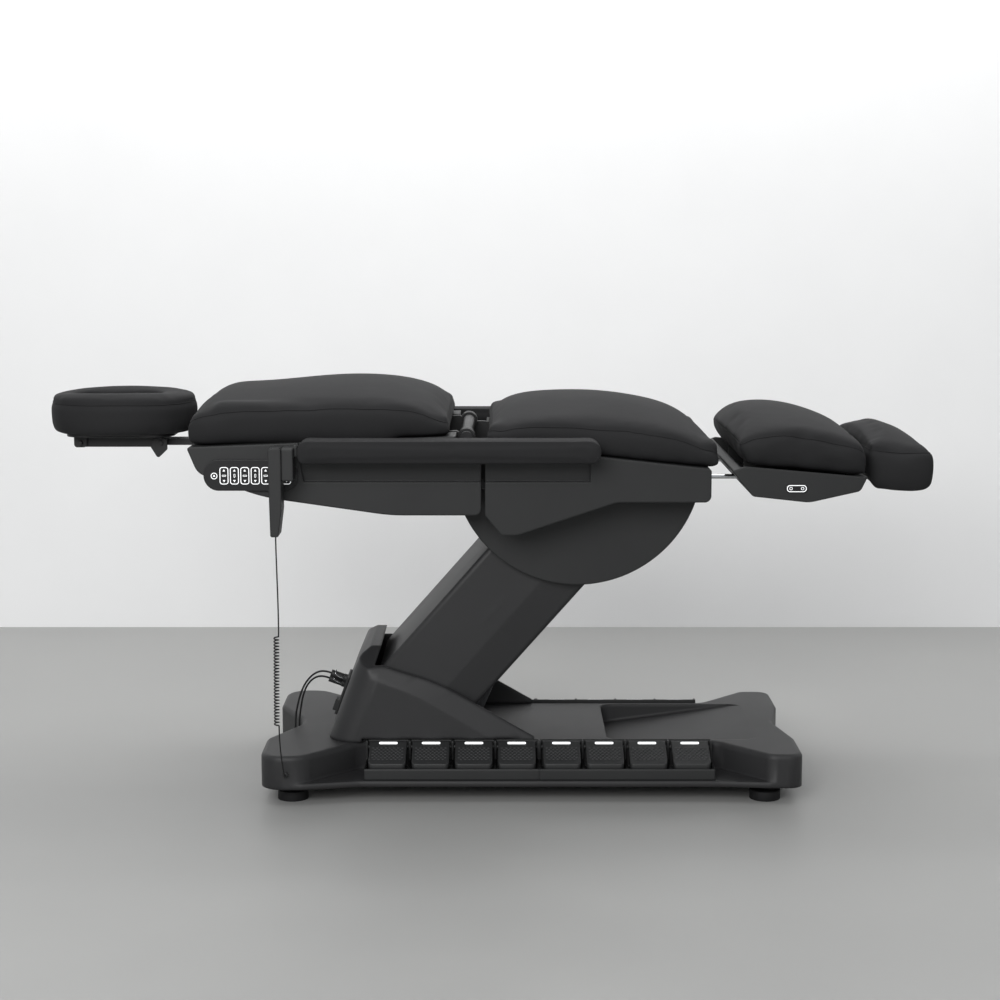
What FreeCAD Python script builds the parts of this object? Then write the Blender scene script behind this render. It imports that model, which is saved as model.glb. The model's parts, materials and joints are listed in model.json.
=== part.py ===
"""Electric spa treatment chair: pedal base, parallelogram lift, tilting top in four cushioned sections."""
import FreeCAD, Part
import math
import os
import re
from FreeCAD import Placement, Rotation, Vector

# Driving sizes, millimetres and degrees. X runs from head to foot, Z is up, the floor is Z = 0.
SIZES = {
    # Chain of lengths from the head end to the foot end
    "cradle_length": 326, "cradle_gap": 8, "back_length": 566, "hinge_gap": 21, "seat_gap": 32,
    "seat_length": 505, "leg_reach": 304, "foot_gap": 8, "foot_length": 142,
    # Fits and cuts
    "seat_clearance": 0.3, "running_clearance": 0.05, "eye_clearance": 3, "overrun": 20, "gap_between": 4,
    # Lift linkage
    "pivot_height": 142, "arm_length": 592, "arm_angle": 48.6, "tie_forward": 62, "tie_drop": 42,
    "carriage_forward": 56, "carriage_rise": 89, "tilt_back": 247, "tilt_drop": 100,
    "shaft_radius": 24, "tie_pin_radius": 10, "tie_width": 24, "tie_thickness": 18, "tie_side": 72,
    "arm_plate": 20, "arm_plate_side": 118, "arm_plate_top": 75, "arm_plate_under": 45, "arm_end_radius": 50,
    "bracket_plate": 16, "bracket_side": 97, "bracket_radius": 46,
    # Lift arm cover
    "cover_top": 105, "cover_under": 106, "cover_half_width": 160, "cover_crease": 29, "cover_draw_in": 12,
    "cover_wall": 5, "cover_start": 66, "cover_stop": 56, "cover_corner": 10, "motor_slot_half": 116,
    "motor_slot_length": 330,
    # Lift actuator
    "lift_motor_forward": 141, "lift_motor_drop": 52, "lift_pin_back": 114.4, "motor_radius": 27,
    "lift_rod_showing": 78.2, "lift_stroke": 52, "gearbox_length": 70, "gearbox_width": 66,
    "gearbox_depth": 62, "rod_radius": 11,
    "eye_radius": 19, "eye_width": 30, "actuator_pin_radius": 8, "clevis_plate": 10, "clevis_radius": 20,
    # Tilt actuator
    "tilt_motor_forward": 95, "tilt_motor_drop": 26, "tilt_lug_forward": 159, "tilt_lug_drop": 7,
    "tilt_rod_showing": 25.7, "tilt_motor_radius": 22, "tilt_shaft_radius": 20,
    # Base
    "base_bottom": 36, "lip_height": 12, "deck_height": 108, "base_head": 281, "base_foot": 873,
    "head_notch": 75, "foot_notch": 29, "lobe_half_width": 300, "foot_half_width": 286,
    "waist_half_width": 173,
    "lip_half_width": 276, "lobe_length": 88, "lobe_corner": 50, "lobe_round": 60, "flank_round": 50,
    "waist_head": 69.5, "foot_flare": 105.5, "foot_lobe_length": 70, "foot_corner": 30,
    "notch_half_width": 96,
    "base_wall": 5, "deck_round": 9,
    "pocket_start": 462, "pocket_tail": 85, "pocket_half_width": 155, "pocket_depth": 44, "pocket_corner": 24,
    "well_head": 96, "well_foot": 167, "well_half_width": 164, "motor_well_foot": 206, "motor_well_half": 45,
    "rail_side": 112, "rail_width": 36, "rail_height": 22, "frame_width": 50, "frame_half_width": 246,
    "foot_pad_radius": 33, "foot_pad_height": 20, "foot_side": 232, "foot_stem_radius": 9, "foot_head_in": 65,
    "foot_tail_in": 75,
    # Tower cover, placed from the lower pivot
    "tower_half_width": 184, "tower_head": 146, "tower_face_back": 99.5, "tower_face_rise": 93,
    "tower_brow_back": 75.5,
    "tower_brow_rise": 150, "tower_crest_back": 53.5, "tower_top": 165, "tower_lip_back": 29.5,
    "tower_round": 60,
    "tower_tail": 302.5, "tower_tail_height": 10, "arch_half_width": 110, "arch_drop": 34,
    "rim_half_width": 168, "rim_back": 21.5, "rim_rise": 131, "rim_middle": 92.5, "rim_middle_rise": 96,
    "rim_curve": 400, "crease_back": 67.5, "crease_rise": 112, "crease_middle": 43, "crease_middle_rise": 73,
    "crease_tail": 198.5, "crease_tail_height": 15,
    "slot_half_width": 164, "slot_back": 69.5, "slot_back_rise": 58, "slot_lip_back": 24,
    # Pedals
    "tray_gap": 4, "tray_inner": 175, "tray_depth": 94, "tray_floor": 6, "tray_front": 25, "tray_end_gap": 12,
    "tray_back": 66, "tray_wall": 5, "tray_head": 59.5, "tray_cover_gap": 2, "rib_width": 5, "pedal_gap": 4,
    "pedal_thickness": 12, "pedal_rise": 2, "pedal_pin_radius": 4, "pedal_corner": 9, "pedal_lift": 8,
    # Connector panel on the tower's head end
    "panel_width": 84, "panel_height": 88, "panel_thickness": 6, "panel_up": 33, "panel_side": -20,
    "socket_radius": 9, "socket_length": 8, "plug_radius": 8, "plug_length": 30, "plug_spacing": 30,
    "plug_step": 20, "lead_radius": 2.2,
    "gland_radius": 6, "gland_length": 26, "cord_gland_length": 5.7, "fuse_radius": 6,
    # Seat
    "seat_base_rear_drop": 3, "seat_base_front_drop": 58, "seat_wall": 65, "seat_crown": 40,
    "seat_half_width": 300, "frame_plate": 16, "seat_plate_side": 180, "frame_depth": 34,
    "hinge_tube_radius": 14, "hinge_tube_half": 210,
    "hinge_eye_radius": 19, "tilt_boss_radius": 42, "leg_boss_radius": 32, "cross_tube_radius": 15,
    "cover_side_width": 100, "seat_cover_back": 40, "seat_cover_front": 28, "seat_cover_bottom": 125,
    "seat_tail_length": 107, "seat_tail_drop": 194, "seat_cover_knee": 314, "shell_wall": 6,
    "shell_corner": 14,
    "cowl_forward": 54, "cowl_up": 47, "cowl_radius": 267, "cowl_wall": 5, "cowl_top_drop": 12,
    "cowl_start_angle": 284, "cowl_stop_angle": 345,
    # Arm rests, handset and its holder
    "arm_rest_head": 341, "arm_rest_length": 619, "arm_rest_height": 48, "arm_rest_width": 70,
    "arm_rest_gap": 18.7, "arm_rest_up": 13, "arm_rest_round": 16, "arm_boss_radius": 10, "arm_boss_in": 398,
    "arm_boss_pitch": 40, "arm_boss_up": 11,
    "holder_length": 24, "holder_width": 46, "holder_height": 68, "holder_link": 8, "holder_drop": 16,
    "handset_thickness": 27, "handset_width": 52, "handset_length": 182, "handset_round": 8,
    "handset_taper": 7,
    # Back
    "back_base_rise": 12, "back_base_fall": 22, "back_wall": 72, "back_crown": 37, "back_half_width": 300,
    "back_plate_side": 160, "back_cover_end": 30, "back_cover_deep": 152, "back_cover_curve": 400,
    "back_cover_corner_in": 22, "back_cover_corner_drop": 54, "back_cover_knee_in": 155,
    "back_cover_knee_drop": 114, "back_cover_tail_in": 135,
    "recess_radius": 345, "recess_depth": 12, "recess_bottom": 62, "recess_front": 258,
    "pod_length": 195, "pod_height": 64, "pod_thickness": 10, "pod_drop": 67, "pod_from_head": 36,
    # Head rest
    "cradle_width": 292, "cradle_base_drop": 5, "cradle_height": 88, "face_hole_length": 172,
    "face_hole_width": 112, "face_hole_shift": 14, "cradle_plate_thickness": 6, "cradle_plate_margin": 46,
    "head_pivot_gap": 78, "head_pivot_drop": 29, "head_link_length": 177, "head_link_width": 20,
    "head_link_plate": 6, "head_link_side": 26, "head_pin_radius": 5, "slide_width": 44,
    "slide_thickness": 14, "slide_inside": 150,
    "guide_length": 110, "guide_wall": 5, "lever_length": 34, "lever_thickness": 4, "lever_side": 42,
    # Leg rest
    "leg_axis_back": 53, "leg_axis_drop": 89, "leg_end_run": 42, "leg_base_drop": 51,
    "leg_base_fall": 23, "leg_wall": 78, "leg_crown": 35, "leg_half_width": 290, "chrome_rod_radius": 5,
    "chrome_rod_side": 150, "chrome_rod_length": 215, "sleeve_start": 110, "sleeve_length": 100,
    "sleeve_width": 22, "sleeve_height": 18, "leg_frame_plate": 8, "leg_cover_start": 69, "leg_cover_top": 28,
    "leg_cover_end": 350, "leg_cover_knee": 112, "leg_cover_drop": 25, "leg_cover_deep": 38,
    "leg_cover_heel": 14,
    "leg_cover_mid": 230,
    "switch_length": 46, "switch_height": 17, "switch_thickness": 3, "switch_from_axis": 203,
    "switch_drop": 8,
    "foot_base_drop": 114, "foot_base_rise": 28, "foot_wall": 90, "foot_crown": 38, "foot_cushion_half": 222,
    "tongue_width": 60, "tongue_thickness": 8, "tongue_reach": 70,
    # Handset cord
    "cord_radius": 1.5, "curl_radius": 4.8,
}
# Sizes that follow from the ones above
WORKED_OUT = {
    "lift_reach": "arm_length - lift_pin_back",
    "pocket_length": "base_foot - pocket_start - pocket_tail",
    "tray_length": "(tray_head + base_foot - foot_lobe_length - foot_flare - tray_end_gap - tray_gap) / 2",
    "knuckle_radius": "slide_thickness / 1.4",
    "cover_inner": "seat_plate_side + frame_plate + seat_clearance",
    "arm_rest_inner": "cover_inner + cover_side_width + arm_rest_gap",
}
CURL_COUNT = 28
PEDALS_PER_TRAY = 4
NOTCH_SHARE = 1.5
BAR_ROUND_SHARE = 0.9
ARM_REST_END_SHARE = 0.45
HANDSET_KNEE_SHARE = 0.7
SEAT_HEEL_SHARE = 1.6
LEVER_HEEL_SHARE = 1.6
ROD_HOLE_SHARE = 1.5
ROUND_END_SHARE = 0.98
LEG_LEAN_SHARE = 0.55

# Cushion stations: share along, base lift share, wall share, crown share, width share, lean share
BACK_SHARES = [(0, 0, .72, .1, .95, 0), (.03, 0, .84, .45, .985, 0), (.2, 0, .94, .88, 1, 0),
               (.5, 0, 1, .97, 1, 0), (.7, 0, .96, .94, 1, 0), (.87, 0, .78, .7, 1, 0),
               (.96, 0, .46, .5, .985, 0), (1, 0, .2, .17, .955, 0)]
SEAT_SHARES = [(0, 0, .15, .1, .94, 0), (.08, 0, .5, .65, .985, 0), (.19, 0, .75, .85, 1, 0),
               (.36, 0, .9, 1, 1, 0), (.6, 0, 1, 1, 1, 0), (.8, 0, .9, .87, 1, 0), (.9, 0, .7, .65, .99, 0),
               (.97, 0, .4, .35, .975, 0), (1, 0, .18, .15, .95, 0)]
LEG_SHARES = [(0, 0, .55, .6, .95, 1), (.15, 0, .85, .85, .99, .6), (.35, 0, 1, .95, 1, .2),
              (.6, 0, .96, .85, 1, 0), (.85, 0, .85, .55, 1, 0), (.96, 0, .75, .3, .99, 0),
              (1, 0, .68, .12, .96, 0)]
FOOT_SHARES = [(0, 1, .87, .47, .94, 0), (.18, .25, 1, 1, .99, 0), (.5, 0, .99, .92, 1, 0),
               (.85, .05, .97, .4, .99, 0), (1, .4, .81, .18, .95, 0)]
# Head cradle, from its base up: share of the height, share of the outline, share of the face hole
CRADLE_SHARES = [(0, .93, 1.06), (.16, .985, 1.0), (.5, 1, .96), (.78, .99, 1.0), (.93, .955, 1.07),
                 (1, .9, 1.14)]

# Routes of the pedal leads and of the handset cord's tail, points chosen by hand: millimetres from the lower
# pivot, the middle plane and the floor
NEAR_LEAD_ROUTE = [(-185.5, -38, 229), (-203.5, -37, 211), (-216.5, -36, 186), (-225, -35, 156),
                   (-231, -33.4, 124), (-231, -33.4, 92)]
FAR_LEAD_ROUTE = [(-190.5, -9, 211), (-205.5, -8, 195), (-215.5, -7, 171), (-221, -6, 142), (-224.7, -6, 113),
                  (-224.7, -6, 92)]
CORD_TAIL_ROUTE = [(-230.7, -349, 189.1), (-230.7, -349, 170), (-229.5, -347, 140), (-227.5, -341, 112),
                   (-225.5, -332, 86), (-224.5, -319, 70), (-224.5, -306, 70)]
# Route of the cord's upper part and the ends of its curls, from the back hinge, the middle plane and
# the floor
CORD_DROP_ROUTE = [(-389, -350, 590), (-389, -350, 570), (-388, -350, 520), (-386.5, -350, 460),
                   (-386, -350, 405), (-386.2, -350, 378.6)]
CURL_TOP = (-386.2, -350, 380)
CURL_BOTTOM = (-388.2, -350, 188)

doc = FreeCAD.newDocument("treatment_chair")
sheet = doc.addObject("Spreadsheet::Sheet", "Sizes")
for row, (alias, value) in enumerate(SIZES.items(), start=1):
    sheet.set("A%d" % row, alias)
    sheet.set("B%d" % row, str(value))
    sheet.setAlias("B%d" % row, alias)
for row, (alias, words) in enumerate(WORKED_OUT.items(), start=len(SIZES) + 1):
    sheet.set("A%d" % row, alias)
    sheet.set("B%d" % row, "=" + words)
    sheet.setAlias("B%d" % row, alias)
doc.recompute()


class SheetValues:
    """Reads a size from the sheet by its alias."""

    def __getattr__(self, alias):
        return float(sheet.get(alias))


s = SheetValues()
SUB_PARTS = []


def bind(thing, **expressions):
    """Binds properties to expressions in which every word is an alias of the sheet."""
    for name, words in expressions.items():
        thing.setExpression(name, re.sub(r"[a-z_]+", lambda found: "Sizes." + found.group(0), words))


def rounded(points):
    """Lines and tangent arcs round a closed outline of (across, up, corner radius)."""
    corners = []
    for index, (across, up, radius) in enumerate(points):
        here = Vector(across, up, 0)
        before = (Vector(*points[index - 1][:2], 0) - here).normalize()
        after = (Vector(*points[(index + 1) % len(points)][:2], 0) - here).normalize()
        half = before.getAngle(after) / 2
        run = radius / math.tan(half)
        middle = (before + after)
        inward = middle.normalize() if middle.Length > Part.Precision.confusion() else Vector(0, 0, 0)
        bulge = radius / math.sin(half) - radius
        corners.append((here + before * run, here + inward * bulge, here + after * run, radius))
    edges = []
    for index, (start, middle, end, radius) in enumerate(corners):
        if radius:
            edges.append(Part.Arc(start, middle, end))
        following = corners[(index + 1) % len(corners)][0]
        if end.distanceToPoint(following) > Part.Precision.confusion():
            edges.append(Part.LineSegment(end, following))
    return edges


def sketch(name, points, frame):
    """A sketch of the rounded outline, in the given frame."""
    drawing = doc.addObject("Sketcher::SketchObject", name)
    drawing.addGeometry(rounded(points), False)
    drawing.Placement = frame
    return drawing


def extrude(name, drawing, direction, length):
    """A solid extrusion of a sketch, its length bound to the sheet."""
    solid = doc.addObject("Part::Extrusion", name)
    solid.Base = drawing
    solid.DirMode = "Custom"
    solid.Dir = direction
    solid.Solid = True
    bind(solid, LengthFwd=length)
    return solid


def plate(name, points, thickness, side, frame=Placement()):
    """A plate whose outline lies in X and Z, from the given side towards +Y."""
    upright = Placement(Vector(0, side, 0), Rotation(Vector(1, 0, 0), 90))
    return extrude(name, sketch(name + "_sketch", points, frame.multiply(upright)), Vector(0, 1, 0),
                   thickness)


def slab(name, points, height, level):
    """A slab whose outline lies in X and Y, from the given level up."""
    flat = Placement(Vector(0, 0, level), Rotation())
    return extrude(name, sketch(name + "_sketch", points, flat), Vector(0, 0, 1), height)


def box(name, length, width, height, corner, frame=Placement()):
    """A box with bound sides."""
    solid = doc.addObject("Part::Box", name)
    bind(solid, Length=length, Width=width, Height=height)
    solid.Placement = frame.multiply(Placement(Vector(*corner), Rotation()))
    return solid


def rod(name, radius, length, start, direction):
    """A round bar with bound radius and length."""
    solid = doc.addObject("Part::Cylinder", name)
    bind(solid, Radius=radius, Height=length)
    solid.Placement = Placement(Vector(*start), Rotation(Vector(0, 0, 1), Vector(*direction)))
    return solid


def cross_pin(name, radius, half_length, x, z):
    """A round bar across the chair, centred on its middle plane."""
    half = doc.addObject("Part::Cylinder", name)
    bind(half, Radius=radius, Height="2 * (%s)" % half_length)
    doc.recompute()
    reach = float(half.Height) / 2
    half.Placement = Placement(Vector(x, -reach, z), Rotation(Vector(0, 0, 1), Vector(0, 1, 0)))
    return half


def join(name, *pieces):
    """The union of several solids."""
    whole = doc.addObject("Part::MultiFuse", name)
    whole.Shapes = list(pieces)
    whole.Refine = True
    return whole


def cut(name, body, *tools):
    """A solid less one or more tools."""
    result = doc.addObject("Part::Cut", name)
    result.Base = body
    result.Tool = tools[0] if len(tools) == 1 else join(name + "_tools", *tools)
    result.Refine = True
    return result


def mirrored(name, piece):
    """The same piece on the other side of the chair."""
    other = doc.addObject("Part::Mirroring", name)
    other.Source = piece
    other.Normal = Vector(0, 1, 0)
    return other


def pair(name, piece):
    """A piece and its mirror image."""
    return group(name, piece, mirrored(name + "_far", piece))


def group(name, *pieces):
    """Separate solids kept in one sub-part."""
    together = doc.addObject("Part::Compound", name)
    together.Links = list(pieces)
    return together


def shaped(name, shape):
    """A sub-part with a shape worked out in code."""
    feature = doc.addObject("Part::Feature", name)
    feature.Shape = shape
    return feature


def sub_part(label, thing):
    """Names a finished piece and lists it for writing."""
    thing.Label = label
    SUB_PARTS.append((label, thing))
    return thing


# Stations of the chair, worked out from the sizes
total_length = (s.cradle_length + s.cradle_gap + s.back_length + s.hinge_gap + s.seat_gap + s.seat_length
                + s.leg_reach + s.foot_gap + s.foot_length)
head_x = -total_length / 2
back_x = head_x + s.cradle_length + s.cradle_gap
hinge_x = back_x + s.back_length + s.hinge_gap
seat_x = hinge_x + s.seat_gap
seat_end_x = seat_x + s.seat_length
leg_end_x = seat_end_x + s.leg_reach
foot_x = leg_end_x + s.foot_gap
arm_rise = s.arm_length * math.sin(math.radians(s.arm_angle))
arm_run = s.arm_length * math.cos(math.radians(s.arm_angle))
hinge_z = s.pivot_height + arm_rise + s.carriage_rise + s.tilt_drop
tilt_x = seat_end_x - s.tilt_back
tilt_z = hinge_z - s.tilt_drop
upper_x = tilt_x - s.carriage_forward
upper_z = tilt_z - s.carriage_rise
pivot_x = upper_x - arm_run
pivot_z = s.pivot_height
leg_axis_x = seat_end_x - s.leg_axis_back
leg_axis_z = hinge_z - s.leg_axis_drop
arm_frame = Placement(Vector(pivot_x, 0, pivot_z), Rotation(Vector(0, 1, 0), -s.arm_angle))


def back_base(x):
    """Height of the back cushion's base, which climbs from the head end to the hinge."""
    return hinge_z + s.back_base_rise - s.back_base_fall * (back_x + s.back_length - x) / s.back_length


def seat_base(x):
    """Height of the seat cushion's base, which falls towards the knees."""
    return hinge_z - s.seat_base_rear_drop - (s.seat_base_front_drop - s.seat_base_rear_drop) * (
        x - seat_x) / s.seat_length


leg_start_x = seat_end_x + s.leg_end_run


def leg_base(x):
    """Height of the leg cushion's base, which falls towards the feet."""
    return hinge_z - s.leg_base_drop - s.leg_base_fall * (x - leg_start_x) / (leg_end_x - leg_start_x)


def foot_base(x):
    """Height of the foot cushion's base."""
    return hinge_z - s.foot_base_drop


def cushion(start, end, base, lift, wall, crown, half_width, lean, shares):
    """A crowned pad, lofted through sections of a flat base, bowed walls and an arched top."""
    sections = []
    for along, lift_share, wall_share, crown_share, width_share, lean_share in shares:
        x = start + (end - start) * along
        low = base(x) + lift * lift_share
        seam = low + wall * wall_share
        width = half_width * width_share
        waist = width - s.seat_clearance - wall * wall_share / 12

        def at(across, up):
            return Vector(x - lean * lean_share * (up - low), across, up)

        middle = (low + seam) / 2
        base_left, base_right = at(-waist, low), at(waist, low)
        seam_left, seam_right = at(-waist, seam), at(waist, seam)
        sections.append(Part.Wire([
            Part.makeLine(base_left, base_right),
            Part.Arc(base_right, at(width, middle), seam_right).toShape(),
            Part.Arc(seam_right, at(0, seam + crown * crown_share), seam_left).toShape(),
            Part.Arc(seam_left, at(-width, middle), base_left).toShape()]))
    return Part.makeLoft(sections, True, False)


def base_pocket():
    """The foot tray in the deck, a ramp that rises to the foot end, and the tub that holds it."""
    start, end = pivot_x + s.pocket_start, pivot_x + s.pocket_start + s.pocket_length
    deck, wall = s.deck_height, s.base_wall
    half = s.pocket_half_width
    room = slab("pocket_room", [(start, -half, s.pocket_corner), (end, -half, s.pocket_corner),
                                (end, half, s.pocket_corner), (start, half, s.pocket_corner)],
                "pocket_depth + overrun", deck - s.pocket_depth)
    ramp = plate("pocket_ramp", [(start, deck - s.pocket_depth, 0), (end, deck, 0),
                                 (end, deck + s.overrun, 0), (start, deck + s.overrun, 0)],
                 "2 * pocket_half_width", -half)
    pocket = doc.addObject("Part::MultiCommon", "base_pocket")
    pocket.Shapes = [room, ramp]
    tub = plate("base_tub", [(start - wall, deck - wall, 0), (start - wall, deck - s.pocket_depth - wall, 0),
                             (start, deck - s.pocket_depth - wall, 0), (end, deck - wall, 0)],
                "2 * (pocket_half_width + base_wall)", -half - wall)
    return pocket, tub


def base_pieces():
    """Moulded base, its steel frame, feet and the tower over the lift pivot."""
    head, foot = pivot_x - s.base_head, pivot_x + s.base_foot
    waist_start, waist_end = pivot_x - s.waist_head, foot - s.foot_lobe_length - s.foot_flare
    lobe_side = s.notch_half_width * NOTCH_SHARE

    def plan(waist, inset):
        near = [(head + s.head_notch + inset, 0, s.notch_half_width),
                (head + inset, lobe_side, s.lobe_corner),
                (head + inset, s.lobe_half_width - inset, s.lobe_corner),
                (head + s.lobe_length, s.lobe_half_width - inset, s.lobe_round),
                (waist_start, waist - inset, s.flank_round),
                (waist_end, waist - inset, s.flank_round),
                (foot - s.foot_lobe_length, s.foot_half_width - inset, s.foot_corner),
                (foot - inset, s.foot_half_width - inset, s.foot_corner),
                (foot - inset, lobe_side, s.foot_corner),
                (foot - s.foot_notch - inset, 0, s.notch_half_width)]
        far = [(x, -y, radius) for x, y, radius in near[-2:0:-1]]
        return near + far

    lip = slab("base_lip", plan(s.lip_half_width, 0), "lip_height", s.base_bottom)
    body = slab("base_body", plan(s.waist_half_width, 0), "deck_height - base_bottom", s.base_bottom)
    hollow = slab("base_hollow", plan(s.waist_half_width, s.base_wall),
                  "deck_height - base_bottom - base_wall", s.base_bottom)
    doc.recompute()
    rim = [edge for edge in body.Shape.Edges if abs(edge.BoundBox.ZMin - s.deck_height) < s.seat_clearance]
    eased = body.Shape.makeFillet(s.deck_round, rim)
    pocket, tub = base_pocket()
    well = box("base_well", "well_head + well_foot", "2 * well_half_width", "deck_height",
               (pivot_x - s.well_head, -s.well_half_width, s.base_bottom))
    motor_well = box("base_motor_well", "motor_well_foot", "2 * motor_well_half", "deck_height",
                     (pivot_x, -s.motor_well_half, s.base_bottom))
    moulding = join("base_moulding", lip, shaped("base_eased", eased))
    shell = join("base_shell", cut("base_hollowed", moulding, hollow, well, motor_well), tub)
    sub_part("base_cover", cut("base_cover", shell, pocket))

    floor = s.base_bottom
    rails = [box("base_rail_%d" % side, "base_head + base_foot - foot_head_in - foot_tail_in", "rail_width",
                 "rail_height", (head + s.foot_head_in, side * s.rail_side - s.rail_width / 2, floor))
             for side in (-1, 1)]
    beams = [box("base_beam_%d_%d" % (index, side), "frame_width", "frame_half_width - rail_side",
                 "rail_height", (x - s.frame_width / 2, s.rail_side if side > 0 else -s.frame_half_width, floor))
             for index, x in enumerate((head + s.foot_head_in, foot - s.foot_tail_in)) for side in (-1, 1)]
    crossings = head + s.foot_head_in + 2 * s.frame_width, foot - s.foot_tail_in - s.frame_width
    beams += [box("base_cross_%d" % index, "frame_width", "2 * rail_side", "rail_height",
                  (x, -s.rail_side, floor))
              for index, x in enumerate(crossings)]
    brackets = []
    for side in (-1, 1):
        low = s.bracket_side if side > 0 else -s.bracket_side - s.bracket_plate
        brackets.append(plate("pivot_bracket_%d" % side, [
            (pivot_x - s.bracket_radius, floor, 0), (pivot_x + s.lift_motor_forward, floor, 0),
            (pivot_x + s.lift_motor_forward, floor + s.rail_height, 0),
            (pivot_x + s.tie_forward + s.clevis_radius, pivot_z, s.clevis_radius / 2),
            (pivot_x + s.bracket_radius, pivot_z + s.bracket_radius, s.bracket_radius / 2),
            (pivot_x - s.bracket_radius, pivot_z + s.bracket_radius, s.bracket_radius / 2)],
            "bracket_plate", low))
    tie_pin = rod("base_tie_pin", "tie_pin_radius", "bracket_side - tie_side + bracket_plate",
                  (pivot_x + s.tie_forward, s.tie_side, pivot_z - s.tie_drop), (0, 1, 0))
    motor_x, motor_z = pivot_x + s.lift_motor_forward, pivot_z - s.lift_motor_drop
    motor_pin = cross_pin("lift_motor_pin", "actuator_pin_radius", "bracket_side", motor_x, motor_z)
    motor_lugs = [plate("lift_motor_lug_%d" % side, [
        (motor_x - s.clevis_radius, floor, 0), (motor_x + s.clevis_radius, floor, 0),
        (motor_x + s.clevis_radius, motor_z + s.clevis_radius, s.clevis_radius / 2),
        (motor_x - s.clevis_radius, motor_z + s.clevis_radius, s.clevis_radius / 2)], "clevis_plate",
        s.gearbox_width / 2 + s.gap_between if side > 0
        else -s.gearbox_width / 2 - s.gap_between - s.clevis_plate)
        for side in (-1, 1)]
    lug_bar = box("lift_motor_bar", "2 * clevis_radius", "2 * bracket_side", "clevis_plate",
                  (motor_x - s.clevis_radius, -s.bracket_side, floor))
    steel = join("base_steel", *rails, *beams, *brackets, tie_pin, motor_pin, *motor_lugs, lug_bar)
    bore = cross_pin("pivot_bore", "shaft_radius + running_clearance",
                     "bracket_side + bracket_plate + overrun", pivot_x, pivot_z)
    sub_part("base_frame", cut("base_frame", steel, bore))

    feet = []
    for x in (head + s.foot_head_in, foot - s.foot_tail_in):
        for side in (-1, 1):
            tag = "%d_%d" % (round(x), side)
            pad = rod("foot_pad_" + tag, "foot_pad_radius", "foot_pad_height", (x, side * s.foot_side, 0),
                      (0, 0, 1))
            stem = rod("foot_stem_" + tag, "foot_stem_radius", "base_bottom - foot_pad_height",
                       (x, side * s.foot_side, s.foot_pad_height), (0, 0, 1))
            feet.append(join("foot_" + tag, pad, stem))
    sub_part("levelling_feet", group("levelling_feet", *feet))


def tower_rim():
    """The upper edge of the tower's side, from the crest to the tail."""
    return [(pivot_x - s.rim_back, pivot_z + s.rim_rise),
            (pivot_x + s.rim_middle, pivot_z + s.rim_middle_rise),
            (pivot_x + s.tower_tail, s.deck_height + s.tower_tail_height)]


def tower_crease():
    """The line along the tower's side where its shoulder starts."""
    return [(pivot_x - s.crease_back, pivot_z + s.crease_rise),
            (pivot_x + s.crease_middle, pivot_z + s.crease_middle_rise),
            (pivot_x + s.crease_tail, s.deck_height + s.crease_tail_height)]


def carried_on(line, low, high):
    """A bent line of three points with its ends carried on to two stations."""
    (first_x, first_z), (x, z), (last_x, last_z) = line
    return [(low, first_z + (low - first_x) * (z - first_z) / (x - first_x)), (x, z),
            (high, last_z + (high - last_x) * (last_z - z) / (last_x - x))]


def tower_side():
    """Side outline of the tower, from its head end up over the crest and down the rim to its tail."""
    deck, head, top = s.deck_height, pivot_x - s.tower_head, pivot_z + s.tower_top
    start, middle, tail = tower_rim()
    return [(head, deck, 0),
            (pivot_x - s.tower_face_back, pivot_z + s.tower_face_rise, s.tower_round / 2),
            (pivot_x - s.tower_brow_back, pivot_z + s.tower_brow_rise, s.tower_round / 2),
            (pivot_x - s.tower_crest_back, top, s.tower_round / 6),
            (pivot_x - s.tower_lip_back, top, 0),
            (*start, 0), (*middle, s.rim_curve), (*tail, 0), (tail[0], deck, 0)]


def tower_cuts():
    """What lies above the tower's shoulders, between crease and rim, and above the arch of its crest."""
    low, high = pivot_x - s.tower_head - s.overrun, pivot_x + s.tower_tail + s.overrun
    top = pivot_z + s.tower_top
    rim, crease = carried_on(tower_rim(), low, high), carried_on(tower_crease(), low, high)
    beyond = [(2 * x - rim_x, 2 * z - rim_z) for (x, z), (rim_x, rim_z) in zip(crease, rim)]
    out = 2 * s.tower_half_width - s.rim_half_width
    fall = s.arch_drop * (out - s.arch_half_width) / (s.rim_half_width - s.arch_half_width)
    tools = []
    for turn in (-1, 1):
        sections = []
        for line, side in ((rim, s.rim_half_width), (beyond, out)):
            corners = [(*line[0], 0), (*line[1], s.rim_curve), (*line[2], 0), (high, top + s.tower_round, 0),
                       (low, top + s.tower_round, 0)]
            wire = Part.Wire([edge.toShape() for edge in rounded(corners)])
            wire.Placement = Placement(Vector(0, turn * side, 0), Rotation(Vector(1, 0, 0), 90))
            sections.append(wire)
        tools.append(shaped("tower_shoulder_%d" % turn, Part.makeLoft(sections, True, True)))
        arch = [Vector(low, turn * s.arch_half_width, top), Vector(low, turn * out, top - fall),
                Vector(low, turn * out, top + s.overrun),
                Vector(low, turn * s.arch_half_width, top + s.overrun)]
        prism = Part.Face(Part.makePolygon(arch + arch[:1])).extrude(Vector(high - low, 0, 0))
        tools.append(shaped("tower_arch_%d" % turn, prism))
    return tools


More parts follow.
